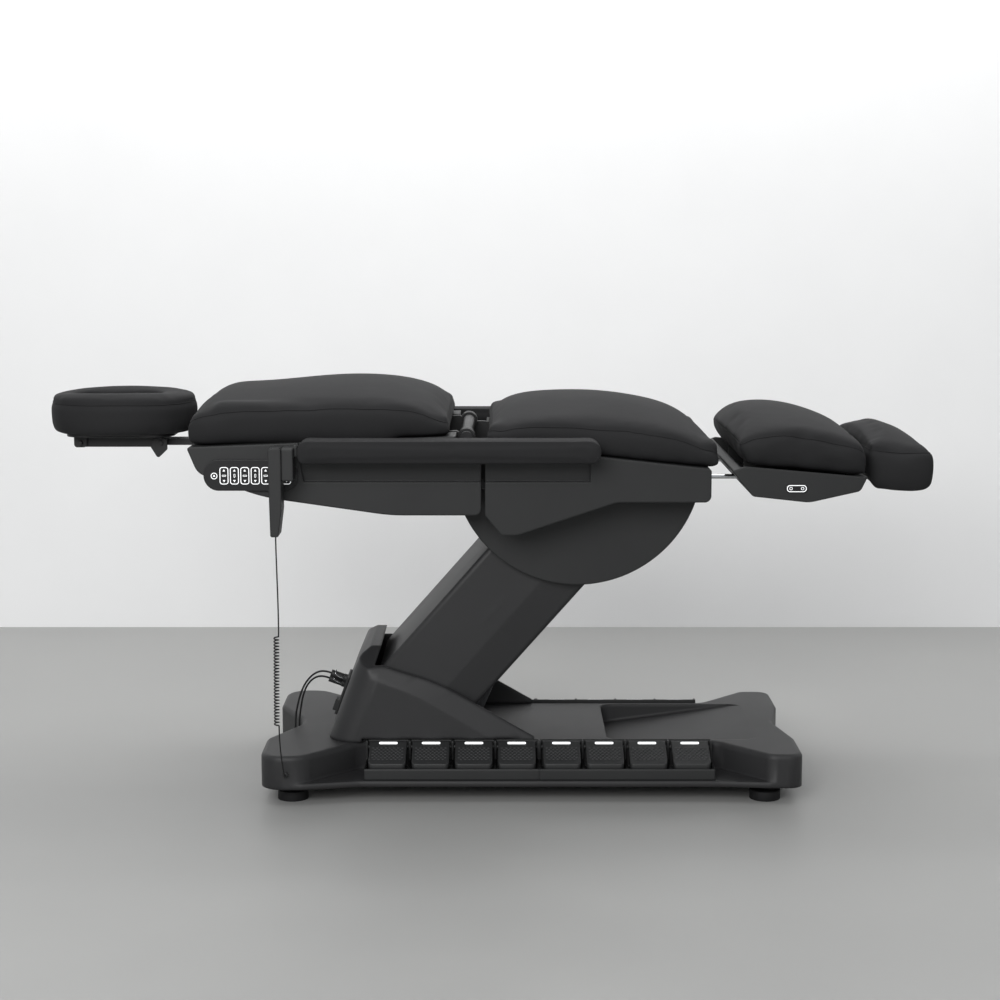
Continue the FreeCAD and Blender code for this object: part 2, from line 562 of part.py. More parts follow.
def tower_pieces():
    """Moulded tower with sloping shoulders, open over the arm, and the panel on its head end."""
    side = -s.tower_half_width
    outline = tower_side()
    profile = plate("tower_profile", outline, "2 * tower_half_width", side)
    (head, deck, _), (top_x, top_z, _) = outline[:2]
    tail = outline[-1][0] + s.overrun
    plan = sketch("tower_plan", [(head, side, s.tower_round), (tail, side, 0), (tail, -side, 0),
                                 (head, -side, s.tower_round)], Placement(Vector(0, 0, deck), Rotation()))
    leaning = extrude("tower_leaning", plan, Vector(top_x - head, 0, top_z - deck).normalize(),
                      "tower_top + deck_height")
    rounded_body = doc.addObject("Part::MultiCommon", "tower_rounded")
    rounded_body.Shapes = [profile, leaning]
    high = pivot_z + s.tower_top + s.overrun
    low = deck - s.overrun
    slot = plate("tower_slot", [(pivot_x - s.slot_back, low, 0), (tail, low, 0), (tail, high, 0),
                                (pivot_x - s.slot_lip_back, high, 0),
                                (pivot_x - s.slot_back, pivot_z + s.slot_back_rise, 0)],
                 "2 * slot_half_width", -s.slot_half_width)
    over_trays = [box("tower_over_tray_%d" % turn, "tray_head + tray_end_gap + tower_tail + overrun",
                      "tower_half_width", "base_bottom + lip_height + tray_back + tray_cover_gap",
                      (pivot_x - s.tray_head - s.tray_end_gap,
                       s.waist_half_width if turn > 0 else -s.waist_half_width - s.tower_half_width, 0))
                  for turn in (-1, 1)]
    sub_part("tower_cover", cut("tower_cover", rounded_body, *tower_cuts(), slot, *over_trays))

    lean = math.degrees(math.atan2(top_x - head, top_z - deck))
    face = Placement(Vector(head, 0, deck), Rotation(Vector(0, 1, 0), lean))
    out = s.panel_thickness
    outward = face.Rotation.multVec(Vector(-1, 0, 0))
    low_y = s.panel_side - s.panel_width / 2
    panel = box("panel_plate", "panel_thickness", "panel_width", "panel_height",
                (-out - s.seat_clearance, low_y, s.panel_up), face)
    sockets, plugs, ends = [], [], []
    for index, side in enumerate((-1, 1)):
        local = Vector(-out, s.panel_side + side * s.plug_spacing / 2,
                       s.panel_up + s.panel_height - s.socket_radius - index * s.plug_step)
        start = face.multVec(local)
        sockets.append(rod("socket_%d" % index, "socket_radius", "socket_length", start, outward))
        plug_start = start + outward * (s.socket_length + s.seat_clearance / 2)
        plugs.append(rod("plug_%d" % index, "plug_radius", "plug_length", plug_start, outward))
        ends.append(plug_start + outward * s.plug_length)
    fuse_start = face.multVec(Vector(-out, low_y + s.panel_width - 2 * s.fuse_radius,
                                     s.panel_up + 2 * s.fuse_radius))
    fuse = rod("panel_fuse", "fuse_radius", "socket_length", fuse_start, outward)
    inlet = box("panel_inlet", "socket_length", "panel_width / 2.4", "panel_height / 3.6",
                (-out - s.socket_length, low_y + s.fuse_radius, s.panel_up + s.fuse_radius), face)
    sub_part("connector_panel", join("connector_panel", panel, *sockets, fuse, inlet))
    sub_part("lead_plugs", group("lead_plugs", *plugs))
    return ends, outward


def pedal_pieces():
    """Four trays of sprung pedals, two on each side of the tower."""
    start = pivot_x - s.tray_head
    step = s.tray_length / PEDALS_PER_TRAY
    level = s.base_bottom + s.lip_height
    trays = []
    for side, name in ((-1, "near"), (1, "far")):
        for half in (0, 1):
            outer_x = start if half == 0 else start + 2 * s.tray_length + s.tray_gap
            base = Placement(Vector(outer_x, side * s.tray_inner, level), Rotation())
            low_x = 0 if half == 0 else -s.tray_length
            low_y = 0 if side > 0 else -s.tray_depth
            tag = "%s_%d" % (name, half)
            floor = box("tray_floor_" + tag, "tray_length", "tray_depth", "tray_floor", (low_x, low_y, 0),
                        base)
            front_y = s.tray_depth - s.tray_wall if side > 0 else -s.tray_depth
            front = box("tray_front_" + tag, "tray_length", "tray_wall", "tray_front", (low_x, front_y, 0),
                        base)
            rear_y = 0 if side > 0 else -s.tray_wall
            rear = box("tray_rear_" + tag, "tray_length", "tray_wall", "tray_back", (low_x, rear_y, 0), base)
            ribs = [box("tray_rib_%s_%d" % (tag, index), "rib_width", "tray_depth", "tray_front",
                        (low_x + index * step - s.rib_width / 2, low_y, 0), base)
                    for index in range(PEDALS_PER_TRAY + 1)]
            lug_y = 0 if side > 0 else -(s.tray_wall + s.pedal_gap + 2 * s.pedal_pin_radius)
            lugs = [box("tray_lug_%s_%d" % (tag, index), "rib_width",
                        "tray_wall + pedal_gap + 2 * pedal_pin_radius", "tray_back",
                        (low_x + index * step - s.rib_width / 2, lug_y, 0), base)
                    for index in range(PEDALS_PER_TRAY + 1)]
            trays.append(join("tray_" + tag, floor, front, rear, *ribs, *lugs))
            for index in range(PEDALS_PER_TRAY):
                count = index if half == 0 else PEDALS_PER_TRAY + index
                pedal("pedal_%s_%d" % (name, count + 1), base, low_x + index * step, step, side)
    sub_part("pedal_trays", group("pedal_trays", *trays))


def pedal(label, base, low, step, side):
    """One pedal: a sloping plate with a pivot barrel along its rear edge."""
    width = step - s.rib_width - 2 * s.pedal_gap
    depth = s.tray_depth - 2 * s.tray_wall - 2 * s.pedal_gap
    rear, front = s.tray_wall + s.pedal_gap, s.tray_wall + s.pedal_gap + depth
    top_rear, top_front = s.tray_back - s.pedal_rise, s.tray_front + s.pedal_lift
    outline = [Vector(0, side * rear, top_rear), Vector(0, side * front, top_front),
               Vector(0, side * front, top_front - s.pedal_thickness),
               Vector(0, side * rear, top_rear - s.pedal_thickness)]
    blank = Part.Face(Part.makePolygon(outline + outline[:1])).extrude(Vector(width, 0, 0))
    edges = [edge for edge in blank.Edges if edge.BoundBox.XLength < s.seat_clearance
             and abs(edge.BoundBox.YLength) < s.seat_clearance
             and abs(edge.CenterOfMass.y - side * front) < s.seat_clearance]
    blank = blank.makeFillet(s.pedal_corner, edges)
    reach = s.pedal_gap - s.seat_clearance
    barrel = Part.makeCylinder(s.pedal_pin_radius, width + 2 * reach,
                               Vector(-reach, side * (rear + s.pedal_pin_radius),
                                      top_rear - s.pedal_thickness),
                               Vector(1, 0, 0))
    piece = shaped(label, blank.fuse(barrel).removeSplitter())
    piece.Placement = base.multiply(Placement(Vector(low + s.rib_width / 2 + s.pedal_gap, 0, 0), Rotation()))
    sub_part(label, piece)


def lift_pieces():
    """Lift arm, its cover, the tie bar, the actuator and the carriage on top."""
    length = s.arm_length
    plates = []
    for side in (-1, 1):
        low = s.arm_plate_side if side > 0 else -s.arm_plate_side - s.arm_plate
        plates.append(plate("arm_plate_%d" % side, [
            (-s.arm_end_radius, -s.arm_plate_under, s.arm_plate_under / 2),
            (length + s.arm_end_radius, -s.arm_plate_under, s.arm_plate_under / 2),
            (length + s.arm_end_radius, s.arm_end_radius, s.arm_plate_under / 2),
            (length - s.arm_end_radius, s.arm_plate_top, s.arm_plate_under / 2),
            (s.arm_end_radius, s.arm_plate_top, s.arm_plate_under / 2),
            (-s.arm_end_radius, s.arm_end_radius, s.arm_plate_under / 2)], "arm_plate", low, arm_frame))
    reach = "arm_plate_side + arm_plate"
    lower = cross_pin("arm_lower_shaft", "shaft_radius", reach, pivot_x, pivot_z)
    upper = cross_pin("arm_upper_shaft", "shaft_radius", reach, upper_x, upper_z)
    rod_end = arm_frame.multVec(Vector(s.lift_reach, 0, 0))
    rod_pin = cross_pin("arm_rod_pin", "actuator_pin_radius", reach, rod_end.x, rod_end.z)
    sub_part("lift_arm", join("lift_arm", *plates, lower, upper, rod_pin))

    def section(inset):
        wide, narrow = s.cover_half_width - inset, s.cover_half_width - s.cover_draw_in - inset
        top, under = s.cover_top - inset, -s.cover_under + inset
        return [(-wide, top, s.cover_corner), (wide, top, s.cover_corner), (wide, -s.cover_crease, 0),
                (narrow, under, s.cover_corner), (-narrow, under, s.cover_corner),
                (-wide, -s.cover_crease, 0)]

    along = Rotation(Vector(0, 1, 0), 90).multiply(Rotation(Vector(0, 0, 1), 90))
    outer = extrude("arm_cover_outer", sketch("arm_cover_sketch", section(0), arm_frame.multiply(
        Placement(Vector(s.cover_start, 0, 0), along))), arm_frame.Rotation.multVec(Vector(1, 0, 0)),
        "arm_length - cover_start - cover_stop")
    inner = extrude("arm_cover_inner", sketch("arm_cover_hole", section(s.cover_wall), arm_frame.multiply(
        Placement(Vector(s.cover_start - s.overrun, 0, 0), along))),
        arm_frame.Rotation.multVec(Vector(1, 0, 0)), "arm_length + overrun")
    slot = box("arm_cover_slot", "motor_slot_length", "2 * motor_slot_half", "cover_under",
               (s.cover_start - s.overrun, -s.motor_slot_half, -s.cover_under - s.cover_wall), arm_frame)
    collars = []
    for side in (-1, 1):
        low = s.arm_plate_side + s.arm_plate if side > 0 else -s.cover_half_width + s.cover_wall
        collars.append(box("arm_cover_rib_%d" % side, "arm_plate_top",
                           "cover_half_width - cover_wall - arm_plate_side - arm_plate", "clevis_plate",
                           (length / 2, low, 0), arm_frame))
    sub_part("arm_cover", join("arm_cover", cut("arm_cover_shell", outer, inner, slot), *collars))

    tie_x, tie_z = pivot_x + s.tie_forward, pivot_z - s.tie_drop
    tie_frame = Placement(Vector(tie_x, 0, tie_z), Rotation(Vector(0, 1, 0), -s.arm_angle))
    half = s.tie_width / 2
    curve = half * BAR_ROUND_SHARE
    bar = plate("tie_blank", [(-half, -half, curve), (length + half, -half, curve),
                              (length + half, half, curve), (-half, half, curve)],
                "tie_thickness", s.tie_side, tie_frame)
    holes = [rod("tie_hole_%d" % index, "tie_pin_radius + running_clearance", "tie_thickness + 2 * overrun",
                 (x, s.tie_side - s.overrun, z), (0, 1, 0))
             for index, (x, z) in enumerate(((tie_x, tie_z), (tie_x + arm_run, tie_z + arm_rise)))]
    sub_part("tie_bar", cut("tie_bar", bar, *holes))

    motor = Vector(pivot_x + s.lift_motor_forward, 0, pivot_z - s.lift_motor_drop)
    actuator("lift", motor, rod_end, s.motor_radius, s.lift_rod_showing, s.lift_stroke)

    plates = []
    tilt_motor = Vector(upper_x + s.tilt_motor_forward, 0, upper_z - s.tilt_motor_drop)
    for side in (-1, 1):
        low = s.bracket_side if side > 0 else -s.bracket_side - s.bracket_plate
        plates.append(plate("carriage_plate_%d" % side, [
            (upper_x - s.bracket_radius, upper_z - s.bracket_radius, s.bracket_radius / 2),
            (tilt_motor.x + s.clevis_radius, tilt_motor.z - s.bracket_radius, s.clevis_radius / 2),
            (tilt_motor.x + s.clevis_radius, tilt_motor.z + s.clevis_radius, s.clevis_radius / 2),
            (tilt_x + s.tilt_boss_radius, tilt_z, s.clevis_radius / 2),
            (tilt_x + s.clevis_radius, tilt_z + s.tilt_boss_radius, s.clevis_radius / 2),
            (tilt_x - s.tilt_boss_radius, tilt_z + s.tilt_boss_radius, s.clevis_radius / 2),
            (upper_x - s.bracket_radius, upper_z + s.bracket_radius, s.clevis_radius / 2)], "bracket_plate",
            low))
    pin = rod("carriage_tie_pin", "tie_pin_radius", "bracket_side - tie_side + bracket_plate",
              (tie_x + arm_run, s.tie_side, tie_z + arm_rise), (0, 1, 0))
    motor_pin = cross_pin("tilt_motor_pin", "actuator_pin_radius", "bracket_side + bracket_plate",
                          tilt_motor.x, tilt_motor.z)
    holes = [cross_pin("carriage_lower_bore", "shaft_radius + running_clearance",
                       "bracket_side + bracket_plate + overrun", upper_x, upper_z),
             cross_pin("carriage_tilt_bore", "tilt_shaft_radius + running_clearance",
                       "bracket_side + bracket_plate + overrun", tilt_x, tilt_z)]
    sub_part("carriage", cut("carriage", join("carriage_steel", *plates, pin, motor_pin), *holes))
    lug = Vector(tilt_x + s.tilt_lug_forward, 0, tilt_z - s.tilt_lug_drop)
    actuator("tilt", tilt_motor, lug, s.tilt_motor_radius, s.tilt_rod_showing, 0)


def actuator(name, start, end, radius, showing, retraction):
    """A linear actuator: a gearbox with its tube on one pin, and a rod with an eye on the other."""
    reach = (end - start).Length
    frame = Placement(start, Rotation(Vector(1, 0, 0), end - start))
    gearbox = Part.makeBox(s.gearbox_length, s.gearbox_width, s.gearbox_depth,
                           Vector(-s.gearbox_length / 3, -s.gearbox_width / 2, -s.gearbox_depth / 2))
    gearbox = gearbox.makeFillet(s.handset_round, [edge for edge in gearbox.Edges
                                                   if edge.BoundBox.XLength > s.gearbox_length / 2])
    tube_start = s.gearbox_length * 2 / 3
    length = reach - tube_start - s.eye_radius - retraction - showing
    tube = Part.makeCylinder(radius, length, Vector(tube_start, 0, 0), Vector(1, 0, 0))
    bore = Part.makeCylinder(s.rod_radius + s.running_clearance, length + s.overrun, Vector(tube_start, 0, 0),
                             Vector(1, 0, 0))
    pin_hole = Part.makeCylinder(s.actuator_pin_radius + s.running_clearance, s.gearbox_width * 2,
                                 Vector(0, -s.gearbox_width, 0), Vector(0, 1, 0))
    housing = gearbox.fuse(tube).cut(bore).cut(pin_hole).removeSplitter()
    body = shaped(name + "_motor", housing)
    body.Placement = frame
    sub_part(name + "_motor", body)
    inside = tube_start + retraction + s.gap_between
    bar = Part.makeCylinder(s.rod_radius, reach - inside, Vector(inside, 0, 0), Vector(1, 0, 0))
    eye = Part.makeCylinder(s.eye_radius, s.eye_width, Vector(reach, -s.eye_width / 2, 0), Vector(0, 1, 0))
    hole = Part.makeCylinder(s.actuator_pin_radius + s.eye_clearance, s.eye_width * 2,
                             Vector(reach, -s.eye_width, 0), Vector(0, 1, 0))
    plunger = shaped(name + "_rod", bar.fuse(eye).cut(hole).removeSplitter())
    plunger.Placement = frame
    sub_part(name + "_rod", plunger)


def seat_pieces():
    """Seat frame with the tilt shaft, hinge tube, cushion, side covers and the cowl below."""
    low_z = tilt_z - s.tilt_boss_radius
    top = s.seat_clearance
    plates = []
    for side in (-1, 1):
        low = s.seat_plate_side if side > 0 else -s.seat_plate_side - s.frame_plate
        body = plate("seat_plate_body_%d" % side, [
            (hinge_x, hinge_z - s.frame_depth, 0), (seat_x + s.frame_depth, low_z, s.frame_depth),
            (leg_axis_x, low_z, s.frame_plate),
            (leg_axis_x + s.leg_boss_radius, leg_axis_z, s.frame_plate / 2),
            (leg_axis_x + s.leg_boss_radius / 2, seat_base(leg_axis_x + s.leg_boss_radius / 2) - top, 0),
            (seat_x, seat_base(seat_x) - top, 0), (hinge_x, seat_base(seat_x) - top, 0)], "frame_plate", low)
        eye = rod("seat_eye_%d" % side, "hinge_eye_radius", "frame_plate", (hinge_x, low, hinge_z), (0, 1, 0))
        plates += [body, eye]
    shaft = cross_pin("tilt_shaft", "tilt_shaft_radius", "seat_plate_side + frame_plate", tilt_x, tilt_z)
    ties = [cross_pin("seat_tie_rear", "cross_tube_radius", "seat_plate_side", seat_x + s.frame_depth * 2,
                      hinge_z - s.frame_depth * SEAT_HEEL_SHARE)]
    lug_x, lug_z = tilt_x + s.tilt_lug_forward, tilt_z - s.tilt_lug_drop
    ties.append(cross_pin("tilt_lug_pin", "actuator_pin_radius", "seat_plate_side", lug_x, lug_z))
    bore_half = "seat_plate_side + frame_plate + overrun"
    bores = [cross_pin("leg_axis_bore", "cross_tube_radius + running_clearance", bore_half, leg_axis_x,
                       leg_axis_z),
             cross_pin("hinge_bore", "hinge_tube_radius", bore_half, hinge_x, hinge_z)]
    sub_part("seat_frame", cut("seat_frame", join("seat_steel", *plates, shaft, *ties), *bores))
    sub_part("hinge_tube", cross_pin("hinge_tube", "hinge_tube_radius", "hinge_tube_half", hinge_x, hinge_z))
    sub_part("seat_cushion", shaped("seat_cushion", cushion(
        seat_x, seat_end_x, seat_base, 0, s.seat_wall, s.seat_crown, s.seat_half_width, 0, SEAT_SHARES)))

    side = s.cover_inner
    front = seat_end_x - s.seat_cover_front
    back = hinge_x + s.seat_cover_back
    bottom = hinge_z - s.seat_cover_bottom
    outline = [(back, hinge_z - s.frame_depth, 0), (back, hinge_z - s.back_cover_deep, s.shell_corner / 2),
               (back + s.frame_depth, hinge_z - s.seat_tail_drop, s.shell_corner / 2),
               (hinge_x + s.seat_tail_length, hinge_z - s.seat_tail_drop, s.frame_depth),
               (hinge_x + s.seat_cover_knee, bottom, s.frame_depth), (front, bottom, s.shell_corner),
               (front, seat_base(front) - s.seat_clearance, s.shell_corner / 2),
               (back, seat_base(back) - s.seat_clearance, 0)]
    sub_part("seat_covers", pair("seat_covers", side_shell("seat_cover", outline, side)))

    cowl_x, cowl_z = tilt_x - s.cowl_forward, tilt_z + s.cowl_up
    outer_side = s.seat_plate_side - s.seat_clearance
    cheek_top = tilt_z - s.cowl_top_drop
    drum = Part.makeCylinder(s.cowl_radius, 2 * outer_side, Vector(cowl_x, -outer_side, cowl_z),
                             Vector(0, 1, 0))
    inner = Part.makeCylinder(s.cowl_radius - s.cowl_wall, 2 * outer_side,
                              Vector(cowl_x, -outer_side, cowl_z), Vector(0, 1, 0))
    within = Part.makeBox(4 * s.cowl_radius, 2 * (outer_side - s.cowl_wall), 4 * s.cowl_radius,
                          Vector(cowl_x - 2 * s.cowl_radius, -outer_side + s.cowl_wall,
                                 cowl_z - 2 * s.cowl_radius))
    above = Part.makeBox(4 * s.cowl_radius, 4 * outer_side, 4 * s.cowl_radius,
                         Vector(cowl_x - 2 * s.cowl_radius, -2 * outer_side, cheek_top))
    edge_x = [cowl_x + 2 * s.cowl_radius * math.cos(math.radians(turn)) for turn in
              (s.cowl_start_angle, s.cowl_stop_angle)]
    edge_z = [cowl_z + 2 * s.cowl_radius * math.sin(math.radians(turn)) for turn in
              (s.cowl_start_angle, s.cowl_stop_angle)]
    wedge = Part.Face(Part.makePolygon([Vector(cowl_x, -2 * outer_side, cowl_z),
                                        Vector(edge_x[0], -2 * outer_side, edge_z[0]),
                                        Vector(edge_x[1], -2 * outer_side, edge_z[1]),
                                        Vector(cowl_x, -2 * outer_side, cowl_z)])).extrude(
                                            Vector(0, 4 * outer_side, 0))
    skin = drum.cut(inner).common(wedge)
    cheeks = drum.cut(within)
    notch = Part.makeCylinder(s.tilt_shaft_radius + s.seat_clearance, 4 * outer_side,
                              Vector(tilt_x, -2 * outer_side, tilt_z), Vector(0, 1, 0))
    lug = Part.makeCylinder(s.actuator_pin_radius + s.seat_clearance, 4 * outer_side,
                            Vector(lug_x, -2 * outer_side, lug_z), Vector(0, 1, 0))
    cowl = cheeks.fuse(skin).cut(above).cut(notch).cut(lug).removeSplitter()
    sub_part("belly_cowl", shaped("belly_cowl", cowl))


def side_shell(name, outline, side):
    """A moulded side cover: open towards the frame, with the arm rest's recess in its outer face."""
    blank = plate(name + "_blank", outline, "cover_side_width", side)
    doc.recompute()
    ring = Part.Wire(Part.__sortEdges__([edge for edge in blank.Shape.Edges
                                         if abs(edge.BoundBox.YMin - side) < s.seat_clearance / 10
                                         and abs(edge.BoundBox.YMax - side) < s.seat_clearance / 10]))
    inset = ring.makeOffset2D(-s.shell_wall)
    pocket = Part.Face(inset).extrude(Vector(0, s.cover_side_width - s.shell_wall - s.recess_depth, 0))
    shell = blank.Shape.cut(pocket)
    shell = shell.cut(arm_recess(side + s.cover_side_width))
    return shaped(name, shell.removeSplitter())


def arm_recess(outer):
    """The long recess behind an arm rest, its head end an arc about the back hinge."""
    disc = Part.makeCylinder(s.recess_radius, s.recess_depth + s.overrun,
                             Vector(hinge_x, outer - s.recess_depth, hinge_z), Vector(0, 1, 0))
    low = hinge_z - s.recess_bottom - s.overrun
    band = Part.makeBox(s.recess_radius + s.recess_front, s.recess_depth + s.overrun, s.recess_bottom * 4,
                        Vector(hinge_x - s.recess_radius, outer - s.recess_depth, low))
    front = Part.makeBox(s.recess_front, s.recess_depth + s.overrun, s.recess_bottom * 4,
                         Vector(hinge_x, outer - s.recess_depth, low))
    return disc.common(band).fuse(front)


def arm_rest_pieces():
    """Two arm rests on bosses, and the handset in its holder at the near one's head end."""
    rest = doc.addObject("PartDesign::Body", "arm_rest_body")
    drawing = rest.newObject("Sketcher::SketchObject", "arm_rest_sketch")
    drawing.AttachmentSupport = [(plane_of(rest, "XZ_Plane"), "")]
    drawing.MapMode = "FlatFace"
    low, high = hinge_z + s.arm_rest_up - s.arm_rest_height, hinge_z + s.arm_rest_up
    start, stop = hinge_x - s.arm_rest_head, hinge_x - s.arm_rest_head + s.arm_rest_length
    blunt = s.arm_rest_height * ARM_REST_END_SHARE
    drawing.addGeometry(rounded([(start, low, s.arm_rest_round), (stop, low, blunt), (stop, high, blunt),
                                 (start, high, s.arm_rest_round)]), False)
    pad = rest.newObject("PartDesign::Pad", "arm_rest_pad")
    pad.Profile = drawing
    bind(pad, Length="arm_rest_width")
    drawing.AttachmentOffset = Placement(Vector(0, 0, s.arm_rest_inner), Rotation())
    doc.recompute()
    rest_shape = rest.Shape.copy()
    bosses = [rod("arm_boss_%d" % index, "arm_boss_radius", "arm_rest_gap + recess_depth - seat_clearance",
                  (start + s.arm_boss_in + index * s.arm_boss_pitch, -s.arm_rest_inner, low + s.arm_boss_up),
                  (0, 1, 0))
              for index in (0, 1)]
    doc.recompute()
    whole = rest_shape.fuse([boss.Shape for boss in bosses]).removeSplitter()
    sub_part("arm_rests", pair("arm_rests", shaped("arm_rest_near", whole)))

    middle = -(s.arm_rest_inner + s.arm_rest_width / 2)
    holder_x = start - s.holder_link - s.holder_length
    cup = box("holder_cup", "holder_length", "holder_width", "holder_height",
              (holder_x, middle - s.holder_width / 2, high - s.holder_drop - s.holder_height))
    link = box("holder_link_bar", "holder_link", "holder_width / 2", "arm_rest_height / 2",
               (holder_x + s.holder_length, middle - s.holder_width / 4, low + s.arm_rest_height / 4))
    sub_part("handset_holder", join("handset_holder", cup, link))
    face = holder_x - s.seat_clearance
    handset_top = high - s.holder_drop
    grip = plate("handset_blank", [
        (face - s.handset_thickness, handset_top, s.handset_round), (face, handset_top, s.handset_round),
        (face, handset_top - s.handset_length * HANDSET_KNEE_SHARE, s.handset_round),
        (face - s.handset_taper, handset_top - s.handset_length, s.handset_round / 2),
        (face - s.handset_thickness + s.handset_taper / 2, handset_top - s.handset_length,
         s.handset_round / 2)],
        "handset_width", middle - s.handset_width / 2)
    sub_part("handset", grip)


def plane_of(body, role):
    """One of a body's own origin planes."""
    return [plane for plane in body.Origin.OriginFeatures if plane.Role == role][0]


def back_pieces():
    """Back frame, cushion, side covers and the two key panels."""
    top = s.seat_clearance
    end_x = back_x + s.back_length
    plates = []
    for side in (-1, 1):
        low = s.back_plate_side if side > 0 else -s.back_plate_side - s.frame_plate
        start = back_x + s.back_cover_end
        plates.append(plate("back_plate_%d" % side, [
            (start, back_base(start) - top, 0), (end_x, back_base(end_x) - top, 0),
            (hinge_x, hinge_z, s.frame_plate / 4), (hinge_x, hinge_z - s.hinge_eye_radius, s.frame_plate / 4),
            (end_x - s.frame_depth, hinge_z - s.frame_depth, s.frame_plate),
            (start, back_base(start) - s.frame_depth, s.frame_plate / 2)], "frame_plate", low))
        plates.append(rod("back_eye_%d" % side, "hinge_eye_radius", "frame_plate", (hinge_x, low, hinge_z),
                          (0, 1, 0)))
    slide_z = head_pivot()[1]
    guide_x = back_x + s.back_cover_end
    guide = box("slide_guide", "guide_length", "2 * back_plate_side", "slide_thickness + 2 * guide_wall",
                (guide_x, -s.back_plate_side, slide_z - s.slide_thickness / 2 - s.guide_wall))
    tie = cross_pin("back_tie", "cross_tube_radius / 1.5", "back_plate_side", end_x - s.guide_length,
                    hinge_z - s.frame_depth / 2)
    channel = box("slide_channel", "guide_length + 2 * overrun", "slide_width + 2 * running_clearance",
                  "slide_thickness + 2 * running_clearance",
                  (guide_x - s.overrun, -s.slide_width / 2 - s.running_clearance,
                   slide_z - s.slide_thickness / 2 - s.running_clearance))
    bore = cross_pin("back_hinge_bore", "hinge_tube_radius + running_clearance",
                     "back_plate_side + frame_plate + overrun", hinge_x, hinge_z)
    sub_part("back_frame", cut("back_frame", join("back_steel", *plates, guide, tie), channel, bore))
    sub_part("back_cushion", shaped("back_cushion", cushion(
        back_x, end_x, back_base, 0, s.back_wall, s.back_crown, s.back_half_width, 0, BACK_SHARES)))

    side = s.cover_inner
    start = back_x + s.back_cover_end / 3
    stop = hinge_x + s.seat_cover_back - s.gap_between * 2
    bottom = hinge_z - s.back_cover_deep
    outline = [(start, back_base(start) - top, s.shell_corner / 3),
               (start + s.back_cover_corner_in, back_base(start) - s.back_cover_corner_drop, s.frame_depth),
               (start + s.back_cover_knee_in, hinge_z - s.back_cover_knee_drop, s.back_cover_curve),
               (end_x - s.back_cover_tail_in, bottom, s.back_cover_curve), (stop, bottom, s.shell_corner),
               (stop, hinge_z - s.frame_depth, s.shell_corner / 3),
               (end_x, hinge_z - s.frame_depth, s.shell_corner / 3), (end_x, back_base(end_x) - top, 0)]
    sub_part("back_covers", pair("back_covers", side_shell("back_cover", outline, side)))
    outer = side + s.cover_side_width
    pod_low = start + s.pod_from_head
    middle_z = hinge_z - s.pod_drop
    half = s.pod_height / 2
    corner = half * ROUND_END_SHARE
    pod_high = pod_low + s.pod_length
    pod = plate("pod_near", [(pod_low, middle_z - half, corner), (pod_high, middle_z - half, corner),
                             (pod_high, middle_z + half, corner), (pod_low, middle_z + half, corner)],
                "pod_thickness", outer)
    sub_part("control_panels", pair("control_panels", pod))


def head_pivot():
    """Place of the head arm's pivot, ahead of the back cushion and below it."""
    return back_x - s.head_pivot_gap - s.cradle_gap, hinge_z - s.head_pivot_drop


